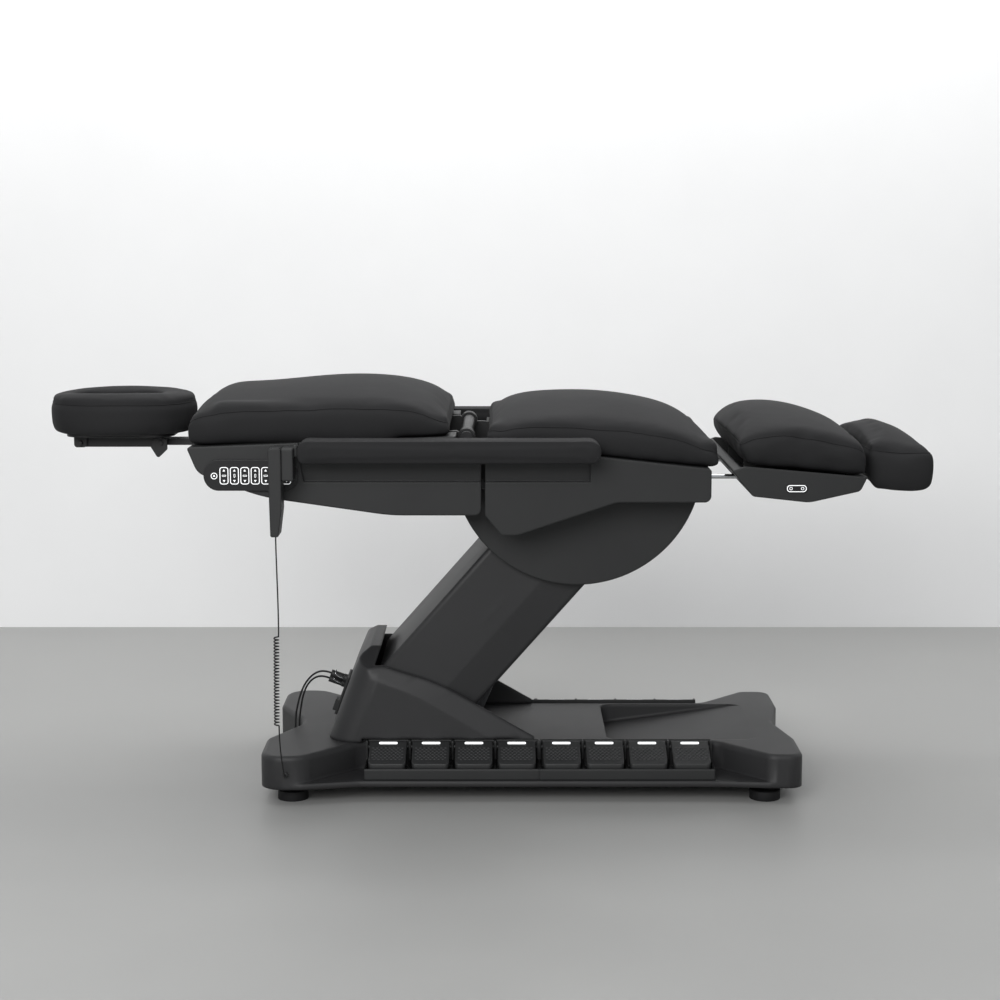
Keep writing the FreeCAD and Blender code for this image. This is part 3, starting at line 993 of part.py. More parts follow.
def head_pieces():
    """Head slide, two-link bracket with its release lever, cradle plate and cradle cushion."""
    x, z = head_pivot()
    tip_x = x - s.head_link_length
    half = s.slide_thickness / 2
    bar = box("head_slide_bar", "head_pivot_gap + cradle_gap + back_cover_end + slide_inside", "slide_width",
              "slide_thickness", (x, -s.slide_width / 2, z - half))
    knuckle = cross_pin("head_slide_knuckle", "knuckle_radius", "slide_width / 2", x, z)
    bore = cross_pin("head_slide_bore", "head_pin_radius + running_clearance", "slide_width", x, z)
    sub_part("head_slide", cut("head_slide", join("head_slide_blank", bar, knuckle), bore))
    links = []
    for side in (-1, 1):
        low = s.head_link_side if side > 0 else -s.head_link_side - s.head_link_plate
        width = s.head_link_width / 2
        curve = width * BAR_ROUND_SHARE
        links.append(plate("head_link_%d" % side, [
            (tip_x - width, z - width, curve), (x + width, z - width, curve), (x + width, z + width, curve),
            (tip_x - width, z + width, curve)], "head_link_plate", low))
    pins = [cross_pin("head_pin_%d" % index, "head_pin_radius", "lever_side + lever_thickness * 2", at, z)
            for index, at in enumerate((tip_x, x))]
    sub_part("head_arm", join("head_arm", *links, *pins))
    base = hinge_z - s.cradle_base_drop
    middle = head_x + s.cradle_length / 2
    plate_low = base - s.seat_clearance - s.cradle_plate_thickness
    margin = s.cradle_plate_margin
    board = slab("cradle_board", [
        (head_x + margin, -s.cradle_width / 2 + margin, margin),
        (head_x + s.cradle_length - margin, -s.cradle_width / 2 + margin, margin),
        (head_x + s.cradle_length - margin, s.cradle_width / 2 - margin, margin),
        (head_x + margin, s.cradle_width / 2 - margin, margin)], "cradle_plate_thickness", plate_low)
    hole_ring = oval(middle - s.face_hole_shift, s.face_hole_length, s.face_hole_width, plate_low - s.overrun)
    window = shaped("cradle_window", Part.Face(hole_ring).extrude(Vector(0, 0, 3 * s.overrun)))
    ears = [plate("cradle_ear_%d" % side, [
        (tip_x - s.slide_thickness, z - s.knuckle_radius, s.slide_thickness / 2),
        (tip_x + s.slide_thickness, z - s.knuckle_radius, s.slide_thickness / 2),
        (tip_x + s.slide_thickness, plate_low + s.cradle_plate_thickness / 2, 0),
        (tip_x - s.slide_thickness, plate_low + s.cradle_plate_thickness / 2, 0)], "head_link_plate",
        s.lever_side - s.head_link_plate - s.seat_clearance if side > 0 else -s.lever_side + s.seat_clearance)
        for side in (-1, 1)]
    ear_bore = cross_pin("cradle_ear_bore", "head_pin_radius + running_clearance", "lever_side * 2", tip_x, z)
    steel = join("cradle_steel", cut("cradle_ring", board, window), *ears)
    sub_part("cradle_plate", cut("cradle_plate", steel, ear_bore))
    outer, hole = [], []
    for up, wide, open_share in CRADLE_SHARES:
        level = base + s.cradle_height * up
        outer.append(oval(middle, s.cradle_length * wide, s.cradle_width * wide, level))
        hole.append(oval(middle - s.face_hole_shift, s.face_hole_length * open_share,
                         s.face_hole_width * open_share, level))
    ring = Part.makeLoft(outer, True, False).cut(Part.makeLoft(hole, True, False))
    sub_part("cradle_cushion", shaped("cradle_cushion", ring))
    width = s.lever_length
    heel = s.slide_thickness * LEVER_HEEL_SHARE
    lever = plate("lever_blank", [(x - s.slide_thickness, z + s.knuckle_radius, s.head_pin_radius),
                                  (x - heel, z - width / 4, s.head_pin_radius),
                                  (x - s.slide_thickness / 2, z - width, s.head_pin_radius),
                                  (x + s.slide_thickness, z - s.slide_thickness, s.head_pin_radius),
                                  (x + s.slide_thickness, z + s.knuckle_radius, s.head_pin_radius)],
                  "lever_thickness", -s.lever_side - s.lever_thickness)
    lever_bore = cross_pin("lever_bore", "head_pin_radius + running_clearance", "lever_side * 2", x, z)
    sub_part("release_lever", cut("release_lever", lever, lever_bore))


def oval(x, length, width, level):
    """A closed oval of four arcs, blunt at its ends."""
    blunt_share = 0.74
    a, b = length / 2, width / 2
    corner_x, corner_y = a * blunt_share, b * blunt_share
    corners = ((1, -1), (1, 1), (-1, 1), (-1, -1))
    points = [Vector(x + sx * corner_x, sy * corner_y, level) for sx, sy in corners]
    mids = [Vector(x + a, 0, level), Vector(x, b, level), Vector(x - a, 0, level), Vector(x, -b, level)]
    ends = points[1:] + points[:1]
    return Part.Wire([Part.Arc(*three).toShape() for three in zip(points, mids, ends)])


def leg_pieces():
    """Swing frame with chrome rods, sliding frame, leg cushion, cover, switches and foot cushion."""
    shaft = cross_pin("leg_shaft", "cross_tube_radius", "seat_plate_side + frame_plate", leg_axis_x,
                      leg_axis_z)
    rods = [rod("chrome_rod_%d" % side, "chrome_rod_radius", "chrome_rod_length",
                (leg_axis_x, side * s.chrome_rod_side, leg_axis_z), (1, 0, 0)) for side in (-1, 1)]
    sub_part("leg_rods", join("leg_rods", shaft, *rods))

    start = leg_axis_x + s.sleeve_start
    pieces, bores, bearers = [], [], []
    for side in (-1, 1):
        middle = side * s.chrome_rod_side
        pieces.append(box("leg_sleeve_%d" % side, "sleeve_length", "sleeve_width", "sleeve_height",
                          (start, middle - s.sleeve_width / 2, leg_axis_z - s.sleeve_height / 2)))
        bores.append(rod("leg_sleeve_bore_%d" % side, "chrome_rod_radius + running_clearance",
                         "sleeve_length + 2 * overrun", (start - s.overrun, middle, leg_axis_z), (1, 0, 0)))
        low = middle - s.sleeve_width / 2
        ends = start, leg_end_x - 2 * s.sleeve_width
        outer = low if side > 0 else low + s.sleeve_width - s.leg_frame_plate
        bearers.append(plate("leg_bearer_%d" % side, [
            (ends[0], leg_axis_z - s.sleeve_height / 2, 0), (ends[1], leg_axis_z - s.sleeve_height / 2, 0),
            (ends[1], leg_base(ends[1]) - s.seat_clearance, 0),
            (ends[0], leg_base(ends[0]) - s.seat_clearance, 0)], "leg_frame_plate", outer))
    cross = box("leg_cross", "sleeve_width", "2 * chrome_rod_side", "leg_frame_plate",
                (leg_end_x - 3 * s.sleeve_width, -s.chrome_rod_side, leg_axis_z - s.sleeve_height / 2))
    front_cross = box("leg_front_cross", "sleeve_width", "2 * chrome_rod_side - sleeve_width",
                      "leg_frame_plate", (start, -s.chrome_rod_side + s.sleeve_width / 2,
                                          leg_axis_z - s.sleeve_height / 2))
    tongue = box("foot_tongue", "tongue_reach + 3 * sleeve_width", "2 * tongue_width", "tongue_thickness",
                 (leg_end_x - 3 * s.sleeve_width, -s.tongue_width,
                  leg_axis_z - s.sleeve_height / 2 - s.tongue_thickness))
    steel = join("leg_steel", *pieces, *bearers, cross, front_cross, tongue)
    sub_part("leg_frame", cut("leg_frame", steel, *bores))
    sub_part("leg_cushion", shaped("leg_cushion", cushion(
        leg_start_x, leg_end_x, leg_base, 0, s.leg_wall, s.leg_crown, s.leg_half_width, LEG_LEAN_SHARE,
        LEG_SHARES)))

    top = s.seat_clearance
    begin, knee, end = (leg_axis_x + s.leg_cover_start, leg_axis_x + s.leg_cover_knee,
                        leg_axis_x + s.leg_cover_end)
    half = s.leg_half_width - s.shell_wall
    outline = [(begin, leg_axis_z + s.leg_cover_top, s.shell_corner / 4),
               (knee, leg_axis_z - s.leg_cover_drop, s.shell_corner),
               (leg_axis_x + s.leg_cover_mid, leg_axis_z - s.leg_cover_deep, s.frame_depth * 2),
               (end - s.leg_cover_heel, leg_axis_z - s.leg_cover_heel, s.shell_corner),
               (end, leg_base(end) - top, 0), (leg_start_x, leg_base(leg_start_x) - top, 0)]
    blank = plate("leg_cover_blank", outline, "2 * leg_half_width - 2 * shell_wall", -half)
    doc.recompute()
    under = leg_axis_z - s.sleeve_height / 2 - s.tongue_thickness - s.seat_clearance
    room = Part.makeBox(end - start, 2 * (half - s.shell_wall), 4 * s.leg_cover_deep,
                        Vector(start - s.sleeve_width, -half + s.shell_wall, under))
    shell = blank.Shape.cut(room)
    for side in (-1, 1):
        shell = shell.cut(Part.makeCylinder(s.chrome_rod_radius * ROD_HOLE_SHARE, s.leg_cover_end, Vector(
            leg_axis_x, side * s.chrome_rod_side, leg_axis_z), Vector(1, 0, 0)))
    shell = shell.cut(Part.makeBox(s.leg_cover_end, 2 * (s.tongue_width + s.seat_clearance),
                                   s.tongue_thickness + 2 * s.seat_clearance,
                                   Vector(leg_end_x - 3 * s.sleeve_width, -s.tongue_width - s.seat_clearance,
                                          under)))
    sub_part("leg_cover", shaped("leg_cover", shell.removeSplitter()))
    centre = leg_axis_x + s.switch_from_axis
    level = leg_axis_z - s.switch_drop
    corner = s.switch_height / 2 * ROUND_END_SHARE
    key = plate("leg_switch_near", [
        (centre - s.switch_length / 2, level - s.switch_height / 2, corner),
        (centre + s.switch_length / 2, level - s.switch_height / 2, corner),
        (centre + s.switch_length / 2, level + s.switch_height / 2, corner),
        (centre - s.switch_length / 2, level + s.switch_height / 2, corner)], "switch_thickness", half)
    sub_part("leg_switches", pair("leg_switches", key))
    foot = cushion(foot_x, foot_x + s.foot_length, foot_base, s.foot_base_rise, s.foot_wall, s.foot_crown,
                   s.foot_cushion_half, 0, FOOT_SHARES)
    slot = Part.makeBox(s.tongue_reach + s.seat_clearance, 2 * (s.tongue_width + s.seat_clearance),
                        s.tongue_thickness + 2 * s.seat_clearance,
                        Vector(foot_x - s.foot_gap, -s.tongue_width - s.seat_clearance,
                               leg_axis_z - s.sleeve_height / 2 - s.tongue_thickness - s.seat_clearance))
    sub_part("foot_cushion", shaped("foot_cushion", foot.cut(slot)))


def cord_tube(label, route, radius):
    """A cord's tube: straight runs joined by tangent arcs as large as the runs allow."""
    fill_share = 0.45
    points = [Vector(*point) for point in route]
    edges, radii, last = [], [], points[0]
    for before, here, after in zip(points, points[1:], points[2:]):
        back, ahead = (before - here), (after - here)
        run = fill_share * min(back.Length, ahead.Length)
        back.normalize()
        ahead.normalize()
        half = back.getAngle(ahead) / 2
        start, stop = here + back * run, here + ahead * run
        bend = run * math.tan(half)
        inward = (back + ahead).normalize()
        middle = here + inward * (bend / math.sin(half) - bend)
        edges += [Part.makeLine(last, start), Part.Arc(start, middle, stop).toShape()]
        radii.append(bend)
        last = stop
    edges.append(Part.makeLine(last, points[-1]))
    spine = Part.Wire(edges)
    profile = Part.Wire(Part.makeCircle(radius, points[0], points[1] - points[0]))
    tube = Part.BRepOffsetAPI.MakePipeShell(spine)
    tube.add(profile)
    tube.build()
    tube.makeSolid()
    solid = tube.shape()
    print(label, "length %.0f" % spine.Length, "least radius %.0f" % min(radii),
          "volume ratio %.3f" % (solid.Volume / (math.pi * radius ** 2 * spine.Length)))
    return sub_part(label, shaped(label, solid))


def biarc(start, start_way, end, end_way):
    """Two arcs that leave one point and reach another along the given directions."""
    chord, ways = end - start, start_way + end_way
    product = 2 * (1 - start_way.dot(end_way))
    along = chord.dot(ways)
    reach = (-along + math.sqrt(along ** 2 + product * chord.dot(chord))) / product
    first, second = start + start_way * reach, end - end_way * reach
    joint = (first + second) / 2
    arcs = []
    for low, corner, high in ((start, first, joint), (joint, second, end)):
        middle = (low + high) / 2
        chord_half, rise = (low - middle).Length, (corner - middle)
        radius = chord_half * (low - corner).Length / rise.Length
        sag = radius - math.sqrt(radius ** 2 - chord_half ** 2)
        arcs.append(Part.Arc(low, middle + rise.normalize() * sag, high).toShape())
    return arcs


def cord_coil(label, top, bottom, radius):
    """The curled length of the handset cord: one unbroken tube that winds down, straight at both ends."""
    tail = 2 * radius
    high, low = top.z - tail, bottom.z + tail
    steps = CURL_COUNT * 2

    def on_curl(step):
        turn = math.pi * step
        height = high - (high - low) * step / steps
        drift = (top.z - height) / (top.z - bottom.z)
        middle = top + (bottom - top) * drift - Vector(s.curl_radius, 0, 0)
        place = Vector(middle.x + s.curl_radius * math.cos(turn), middle.y + s.curl_radius * math.sin(turn),
                       height)
        way = Vector(-math.sin(turn) * s.curl_radius * math.pi, math.cos(turn) * s.curl_radius * math.pi,
                     -(high - low) / steps)
        return place, way.normalize()

    first, way = on_curl(0)
    last, last_way = on_curl(steps)
    edges = [Part.makeLine(first - way * tail, first)]
    for step in range(steps):
        (here, here_way), (there, there_way) = on_curl(step), on_curl(step + 1)
        edges += biarc(here, here_way, there, there_way)
    edges.append(Part.makeLine(last, last + last_way * tail))
    spine = Part.Wire(edges)
    tube = Part.BRepOffsetAPI.MakePipeShell(spine)
    tube.add(Part.Wire(Part.makeCircle(radius, first - way * tail, way)))
    tube.build()
    tube.makeSolid()
    pitch = (high - low) / CURL_COUNT
    print(label, "length %.0f" % spine.Length, "least gap %.2f" % (pitch - 2 * radius))
    return sub_part(label, shaped(label, tube.shape()))


def placed(route, station):
    """A route's points, carried to the station that they are measured from."""
    return [(x + station, y, z) for x, y, z in route]


def cord_pieces(plug_ends, plug_way):
    """The two pedal leads with their glands, and the handset cord with its curls and gland."""
    lead_start_share = 0.55
    routes = [placed(route, pivot_x) for route in (NEAR_LEAD_ROUTE, FAR_LEAD_ROUTE)]
    for label, end, route in zip(("pedal_lead_near", "pedal_lead_far"), plug_ends, routes):
        rise = end + plug_way * s.plug_length * lead_start_share
        cord_tube(label, [tuple(end), tuple(rise)] + route, s.lead_radius)
    cord_tube("handset_cord_drop", placed(CORD_DROP_ROUTE, hinge_x), s.cord_radius)
    tail = placed(CORD_TAIL_ROUTE, pivot_x)
    cord_tube("handset_cord_tail", tail, s.cord_radius)
    top, bottom = placed((CURL_TOP, CURL_BOTTOM), hinge_x)
    cord_coil("handset_cord_coil", Vector(*top), Vector(*bottom), s.cord_radius)
    glands = [rod("lead_gland_%d" % index, "gland_radius", "gland_length", route[-1], (0, 0, -1))
              for index, route in enumerate(routes)]
    glands.append(rod("cord_gland", "gland_radius", "cord_gland_length", tail[-1], (0, 1, 0)))
    sub_part("cord_glands", group("cord_glands", *glands))


base_pieces()
plug_ends, plug_way = tower_pieces()
pedal_pieces()
lift_pieces()
seat_pieces()
arm_rest_pieces()
back_pieces()
head_pieces()
leg_pieces()
cord_pieces(plug_ends, plug_way)
doc.recompute()

for thing in doc.Objects:
    if any(state in ("Invalid", "Error") for state in thing.State):
        raise RuntimeError("failed: %s %s" % (thing.Label, thing.State))
os.makedirs("parts", exist_ok=True)
for label, thing in SUB_PARTS:
    if thing.Shape.isNull() or not thing.Shape.isValid():
        raise RuntimeError("bad shape: " + label)
    thing.Shape.exportStep("parts/%s.step" % label)
print(len(SUB_PARTS), "sub-parts")
for name, (x, z) in {"hinge": (hinge_x, hinge_z), "tilt": (tilt_x, tilt_z), "upper": (upper_x, upper_z),
                     "pivot": (pivot_x, pivot_z), "leg_axis": (leg_axis_x, leg_axis_z),
                     "head_pivot": head_pivot()}.items():
    print(name, "%.2f %.2f" % (x, z))
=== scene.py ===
# %% [markdown]
# This is a spa treatment chair, dressed in Blender. Its frame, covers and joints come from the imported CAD
# model, in metres and in one shared frame. Here each cushion is blown up from its CAD solid, each cord is
# drawn along its route, and each surface gets its material. The CAD pieces stay where they are, so nothing
# has to be fitted by eye.

import json
import math

import bmesh
import bpy
import numpy as np
from mathutils import Matrix, Vector
from mathutils.bvhtree import BVHTree
from mathutils.kdtree import KDTree


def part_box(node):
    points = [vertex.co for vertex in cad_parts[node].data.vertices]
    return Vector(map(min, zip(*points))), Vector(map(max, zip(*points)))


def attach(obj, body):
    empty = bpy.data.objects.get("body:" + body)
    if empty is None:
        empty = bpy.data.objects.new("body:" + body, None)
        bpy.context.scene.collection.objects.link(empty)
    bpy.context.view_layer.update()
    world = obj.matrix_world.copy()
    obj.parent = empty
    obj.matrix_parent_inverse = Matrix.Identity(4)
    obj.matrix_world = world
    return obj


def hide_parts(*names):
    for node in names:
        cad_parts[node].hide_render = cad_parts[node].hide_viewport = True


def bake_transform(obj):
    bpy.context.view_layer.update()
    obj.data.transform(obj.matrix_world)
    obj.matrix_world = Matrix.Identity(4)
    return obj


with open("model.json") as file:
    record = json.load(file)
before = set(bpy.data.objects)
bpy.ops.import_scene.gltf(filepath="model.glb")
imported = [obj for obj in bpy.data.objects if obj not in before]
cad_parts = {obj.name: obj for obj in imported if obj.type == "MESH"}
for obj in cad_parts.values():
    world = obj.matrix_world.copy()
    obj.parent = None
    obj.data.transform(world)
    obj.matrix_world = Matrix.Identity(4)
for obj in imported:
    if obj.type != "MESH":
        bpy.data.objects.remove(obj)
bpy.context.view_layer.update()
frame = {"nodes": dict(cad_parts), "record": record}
nodes = frame["nodes"]
scene = bpy.context.scene

# %% [markdown]
# The photograph looks at the chair's long side from a little above. The camera's focal length and height were
# worked out from the width of the top, the levelling feet and the floor line, so the render can be laid over
# the photograph.

# %% Camera at the photograph's angle
lens_mm, sensor_mm = 70.03, 36
eye, look_down_degrees = (0.036, -4.287, 1.224), 8.107


def in_scene(name, data):
    """A new object of a mesh, curve, light or camera, put into the scene at the origin."""
    piece = bpy.data.objects.new(name, data)
    scene.collection.objects.link(piece)
    return piece


camera_data = bpy.data.cameras.new("camera")
camera_data.lens = lens_mm
camera_data.sensor_width = sensor_mm
scene.camera = in_scene("camera", camera_data)
scene.camera.location = eye
scene.camera.rotation_euler = (math.radians(90 - look_down_degrees), 0, 0)
print("camera at", eye, "looks down by", look_down_degrees, "degrees")

# %% [markdown]
# A designer names a colour as a screen hex value, and Blender works in linear light, so one function turns
# one into the other. A second small function adds a node with its settings and links. Every pattern reads
# object coordinates, which are metres here, so a pattern of n millimetres has the scale 1000 / n. The Mix
# node has sockets for each type of data, so its colour sockets are named here by their numbers.

# %% Helpers for every material
mix_a, mix_b, mix_result = 6, 7, 2


def linear(code):
    """Linear RGBA of an sRGB hex colour."""
    parts = [int(code[i:i + 2], 16) / 255 for i in (0, 2, 4)]
    return [c / 12.92 if c <= 0.04045 else ((c + 0.055) / 1.055) ** 2.4 for c in parts] + [1.0]


def add(tree, kind, links=None, values=None, **settings):
    """Adds a node, with its settings, its sockets' values and the links into it."""
    node = tree.nodes.new(kind)
    for name, value in settings.items():
        setattr(node, name, value)
    for socket, value in (values or {}).items():
        node.inputs[socket].default_value = value
    for socket, source in (links or {}).items():
        tree.links.new(source, node.inputs[socket])
    return node


def started(name):
    """A new material, its tree, its shader and its object coordinates."""
    material = bpy.data.materials.new(name)
    material.use_nodes = True
    tree = material.node_tree
    return material, tree, tree.nodes["Principled BSDF"], add(tree, "ShaderNodeTexCoord").outputs["Object"]


print("the hex value 1b1b1c is", linear("1b1b1c")[:3])

# %% [markdown]
# The upholstery is black polyurethane leather: a knitted cloth coated with plastic, which a heated roller
# embosses with a pebble grain. The grain scatters the light, so the surface looks matt even at a flat angle.
# Real pebbles are about 1 mm. They are drawn at 2.6 mm, because finer ones wouldn't show at this distance.

# %% Black embossed leather, and the welt in its seams


def embossed(name, dark, light, pebble_mm, crease_mm=9, cloud_mm=110):
    """Pebbled polyurethane leather, matt, with broad clouds of wear in its tone."""
    material, tree, shader, place = started(name)
    cloud = add(tree, "ShaderNodeTexNoise", {"Vector": place}, {"Scale": 1000 / cloud_mm, "Detail": 4})
    tone = add(tree, "ShaderNodeMix", {"Factor": cloud.outputs["Fac"]},
               {mix_a: linear(dark), mix_b: linear(light)}, data_type="RGBA")
    rough = add(tree, "ShaderNodeMapRange", {"Value": cloud.outputs["Fac"]}, {"To Min": 0.66, "To Max": 0.84})
    pebble = add(tree, "ShaderNodeTexVoronoi", {"Vector": place}, {"Scale": 1000 / pebble_mm})
    crease = add(tree, "ShaderNodeTexNoise", {"Vector": place}, {"Scale": 1000 / crease_mm, "Detail": 3})
    height = add(tree, "ShaderNodeMath", {0: pebble.outputs["Distance"], 1: crease.outputs["Fac"]},
                 operation="ADD")
    grain = add(tree, "ShaderNodeBump", {"Height": height.outputs["Value"]},
                {"Strength": 0.3, "Distance": 0.0003})
    tree.links.new(tone.outputs[mix_result], shader.inputs["Base Color"])
    tree.links.new(rough.outputs["Result"], shader.inputs["Roughness"])
    tree.links.new(grain.outputs["Normal"], shader.inputs["Normal"])
    shader.inputs["Specular IOR Level"].default_value = 0.2
    return material


black_leather = embossed("black_pu_leather_embossed", "1d1d1e", "282829", 2.6)
welt_leather = embossed("black_pu_leather_welt", "161617", "1e1e1f", 1.4)
print("leather", black_leather.name, welt_leather.name)

# %% [markdown]
# The covers are vacuum-formed and moulded ABS with a fine spark-eroded grain, which gives a satin skin.
# Charcoal is used on the base and the lifting arm, black under the cushions. Handset, leads and feet are the
# same kind of surface in other tones, so one function makes them all, with the grain's size in millimetres.
# The real grain is finer than the 0.5 to 1.6 mm used, and is drawn coarser so that it shows. A sheet drawn
# over a mould has wide soft edges, which the shader's bevel gives without more faces.

# %% Satin plastics and rubbers


def moulded(name, dark, light, rough, grain_mm, specular, edge_mm=1.5, cloud_mm=190):
    """A moulded plastic or rubber skin with a fine grain, an uneven gloss and rounded edges."""
    material, tree, shader, place = started(name)
    cloud = add(tree, "ShaderNodeTexNoise", {"Vector": place}, {"Scale": 1000 / cloud_mm, "Detail": 4})
    tone = add(tree, "ShaderNodeMix", {"Factor": cloud.outputs["Fac"]},
               {mix_a: linear(dark), mix_b: linear(light)}, data_type="RGBA")
    gloss = add(tree, "ShaderNodeMapRange", {"Value": cloud.outputs["Fac"]},
                {"To Min": rough - 0.06, "To Max": rough + 0.06})
    fine = add(tree, "ShaderNodeTexNoise", {"Vector": place}, {"Scale": 1000 / grain_mm, "Detail": 2})
    edge = add(tree, "ShaderNodeBevel", values={"Radius": edge_mm / 1000}, samples=6)
    grain = add(tree, "ShaderNodeBump", {"Height": fine.outputs["Fac"], "Normal": edge.outputs["Normal"]},
                {"Strength": 0.25, "Distance": 0.00008})
    tree.links.new(tone.outputs[mix_result], shader.inputs["Base Color"])
    tree.links.new(gloss.outputs["Result"], shader.inputs["Roughness"])
    tree.links.new(grain.outputs["Normal"], shader.inputs["Normal"])
    shader.inputs["Specular IOR Level"].default_value = specular
    return material


charcoal = moulded("charcoal_abs_spark_eroded", "242425", "2d2d2e", 0.5, 0.8, 0.4, 10)
black_abs = moulded("black_abs_vacuum_formed", "202021", "292a2a", 0.5, 0.8, 0.38, 5)
pedal_abs = moulded("black_abs_pedal", "252526", "2d2e2e", 0.46, 1.0, 0.45, 4)
membrane = moulded("black_polyester_membrane", "121213", "18181a", 0.36, 0.5, 0.4)
# The grip is painted a lighter tone than the pedal. This painted highlight stands in for light caught on the
# diamonds' faces.
grip_abs_painted_highlight = moulded("black_abs_grip_painted_highlight", "303031", "3b3b3c", 0.4, 1.0, 0.5)
motor_grey = moulded("grey_abs_motor_housing", "3a3b3d", "454648", 0.5, 1.0, 0.4)
cord_jacket = moulded("black_pvc_jacket", "0e0e0f", "151516", 0.45, 0.6, 0.4)
foot_rubber = moulded("black_moulded_rubber", "101011", "181819", 0.68, 1.2, 0.3)
black_coat = moulded("black_powder_coat", "141415", "1c1c1d", 0.45, 1.6, 0.4)
print("moulded skins from", charcoal.name, "to", black_coat.name)

# %% [markdown]
# The tubes inside are powder coated, which is a plastic skin with a slight orange peel, so the last line
# above makes it too. The actuators' rods are ground and the leg rods are chromed: working the steel leaves
# fine marks, drawn here as noise stretched along one axis, and coarse enough to show.

# %% Ground steel and chrome


def bright_steel(name, dark, light, rough, stretch, streak_mm=4):
    """Bare or plated steel with fine marks drawn out along one axis."""
    material, tree, shader, place = started(name)
    marks = add(tree, "ShaderNodeMapping", {"Vector": place}, {"Scale": stretch})
    streak = add(tree, "ShaderNodeTexNoise", {"Vector": marks.outputs["Vector"]},
                 {"Scale": 1000 / streak_mm, "Detail": 3})
    tone = add(tree, "ShaderNodeMix", {"Factor": streak.outputs["Fac"]},
               {mix_a: linear(dark), mix_b: linear(light)}, data_type="RGBA")
    gloss = add(tree, "ShaderNodeMapRange", {"Value": streak.outputs["Fac"]},
                {"To Min": rough * 0.7, "To Max": rough * 1.3})
    tree.links.new(tone.outputs[mix_result], shader.inputs["Base Color"])
    tree.links.new(gloss.outputs["Result"], shader.inputs["Roughness"])
    shader.inputs["Metallic"].default_value = 1.0
    return material


ground_steel = bright_steel("ground_steel", "86888b", "a6a8ab", 0.3, (1, 1, 0.06))
chrome = bright_steel("chromed_steel", "c6c8cb", "dddfe1", 0.1, (0.1, 1, 1))
print("metals", ground_steel.name, chrome.name)

# %% [markdown]
# Each pedal has a lit window of opal acrylic, which glows evenly, so its own colour is also its emission. The
# white print on the keys is lit from behind in the same way, only more weakly, so it is a copy of that.

# %% Opal acrylic and white print
haze_mm, window_glow, print_glow = 12, 0.9, 0.55
light_bar, tree, shader, place = started("opal_acrylic_lit")
haze = add(tree, "ShaderNodeTexNoise", {"Vector": place}, {"Scale": 1000 / haze_mm, "Detail": 2})
glow = add(tree, "ShaderNodeMix", {"Factor": haze.outputs["Fac"]},
           {mix_a: linear("eceef0"), mix_b: linear("ffffff")}, data_type="RGBA")
for socket in ("Base Color", "Emission Color"):
    tree.links.new(glow.outputs[mix_result], shader.inputs[socket])
shader.inputs["Emission Strength"].default_value = window_glow
white_print = light_bar.copy()
white_print.name = "white_screen_print_backlit"
white_print.node_tree.nodes["Principled BSDF"].inputs["Emission Strength"].default_value = print_glow
print("materials", len(bpy.data.materials))

# %% [markdown]
# Covers, tubes and motors keep their CAD meshes. A moulded or pressed edge is never knife-sharp, and its
# small radius catches a line of light. A live Bevel modifier gives that, after a Weld that joins the loose
# triangles.

# %% Finishes and rounded arrises of the CAD nodes
finish_of_slot = {
    "black_leather": black_leather, "charcoal_abs": charcoal, "black_abs": black_abs, "pedal_abs": pedal_abs,
    "black_steel": black_coat, "chrome": chrome, "rod_steel": ground_steel, "motor_grey": motor_grey,
    "cord_rubber": cord_jacket, "foot_rubber": foot_rubber, "key_membrane": membrane,
}
arris_of_slot = {"charcoal_abs": 0.0035, "black_abs": 0.003, "pedal_abs": 0.0025, "black_steel": 0.0012,
                 "motor_grey": 0.002, "foot_rubber": 0.003, "key_membrane": 0.0015}
weld_gap, arris_degrees = 0.00002, 34
for row in frame["record"]["subparts"]:
    piece, slot = nodes[row["node"]], row["material_slot"]
    piece.data.materials.clear()
    piece.data.materials.append(finish_of_slot[slot])
    if slot not in arris_of_slot:
        continue
    weld = piece.modifiers.new("weld", "WELD")
    weld.merge_threshold = weld_gap
    arris = piece.modifiers.new("arris", "BEVEL")
    arris.width = arris_of_slot[slot]
    arris.segments = 3
    arris.limit_method = "ANGLE"
    arris.angle_limit = math.radians(arris_degrees)
    arris.harden_normals = True
print("dressed", len(nodes), "CAD nodes")

# %% [markdown]
# A lead, a welt or a wire is a line with a round section. Blender's curves do this themselves: a NURBS spline
# passes smoothly by its control points, and its bevel depth is the wire's radius. A curve with no bevel
# turned into a mesh gives the points of the line, which tell its length.

# %% Helpers for lines


def metres(points):
    """Points in metres from points in millimetres."""
    return [Vector(p) / 1000 for p in points]


def line(name, points, radius=0.0, smoothness=12):
    """A smooth open curve past those control points."""
    data = bpy.data.curves.new(name, "CURVE")
    data.dimensions = "3D"
    data.resolution_u = smoothness
    data.bevel_depth = radius
    data.bevel_resolution = 3
    data.use_fill_caps = True
    spline = data.splines.new("NURBS")
    spline.points.add(len(points) - 1)
    for point, place in zip(spline.points, points):
        point.co = (*place, 1)
    spline.order_u = 3
    spline.use_endpoint_u = True
    return in_scene(name, data)


def made_mesh(piece):
    """A new mesh of a curve or of an object with its modifiers."""
    bpy.context.view_layer.update()
    return bpy.data.meshes.new_from_object(piece.evaluated_get(bpy.context.evaluated_depsgraph_get()))


def run_of(points, smoothness=12):
    """The points along a line, and its length."""
    bare = line("route", points, smoothness=smoothness)
    path = [v.co.copy() for v in made_mesh(bare).vertices]
    bpy.data.objects.remove(bare)
    return path, sum((b - a).length for a, b in zip(path, path[1:]))


def wire(name, points, radius, material, smoothness=12):
    """A round wire or welt as a mesh, along a line."""
    curve = line(name + "_line", points, radius, smoothness)
    mesh = made_mesh(curve)
    bpy.data.objects.remove(curve)
    mesh.materials.clear()
    mesh.materials.append(material)
    mesh.shade_smooth()
    return in_scene(name, mesh)


print("a line of 100 mm measures", round(run_of(metres([(0, 0, 0), (50, 0, 0), (100, 0, 0)]))[1], 4), "m")

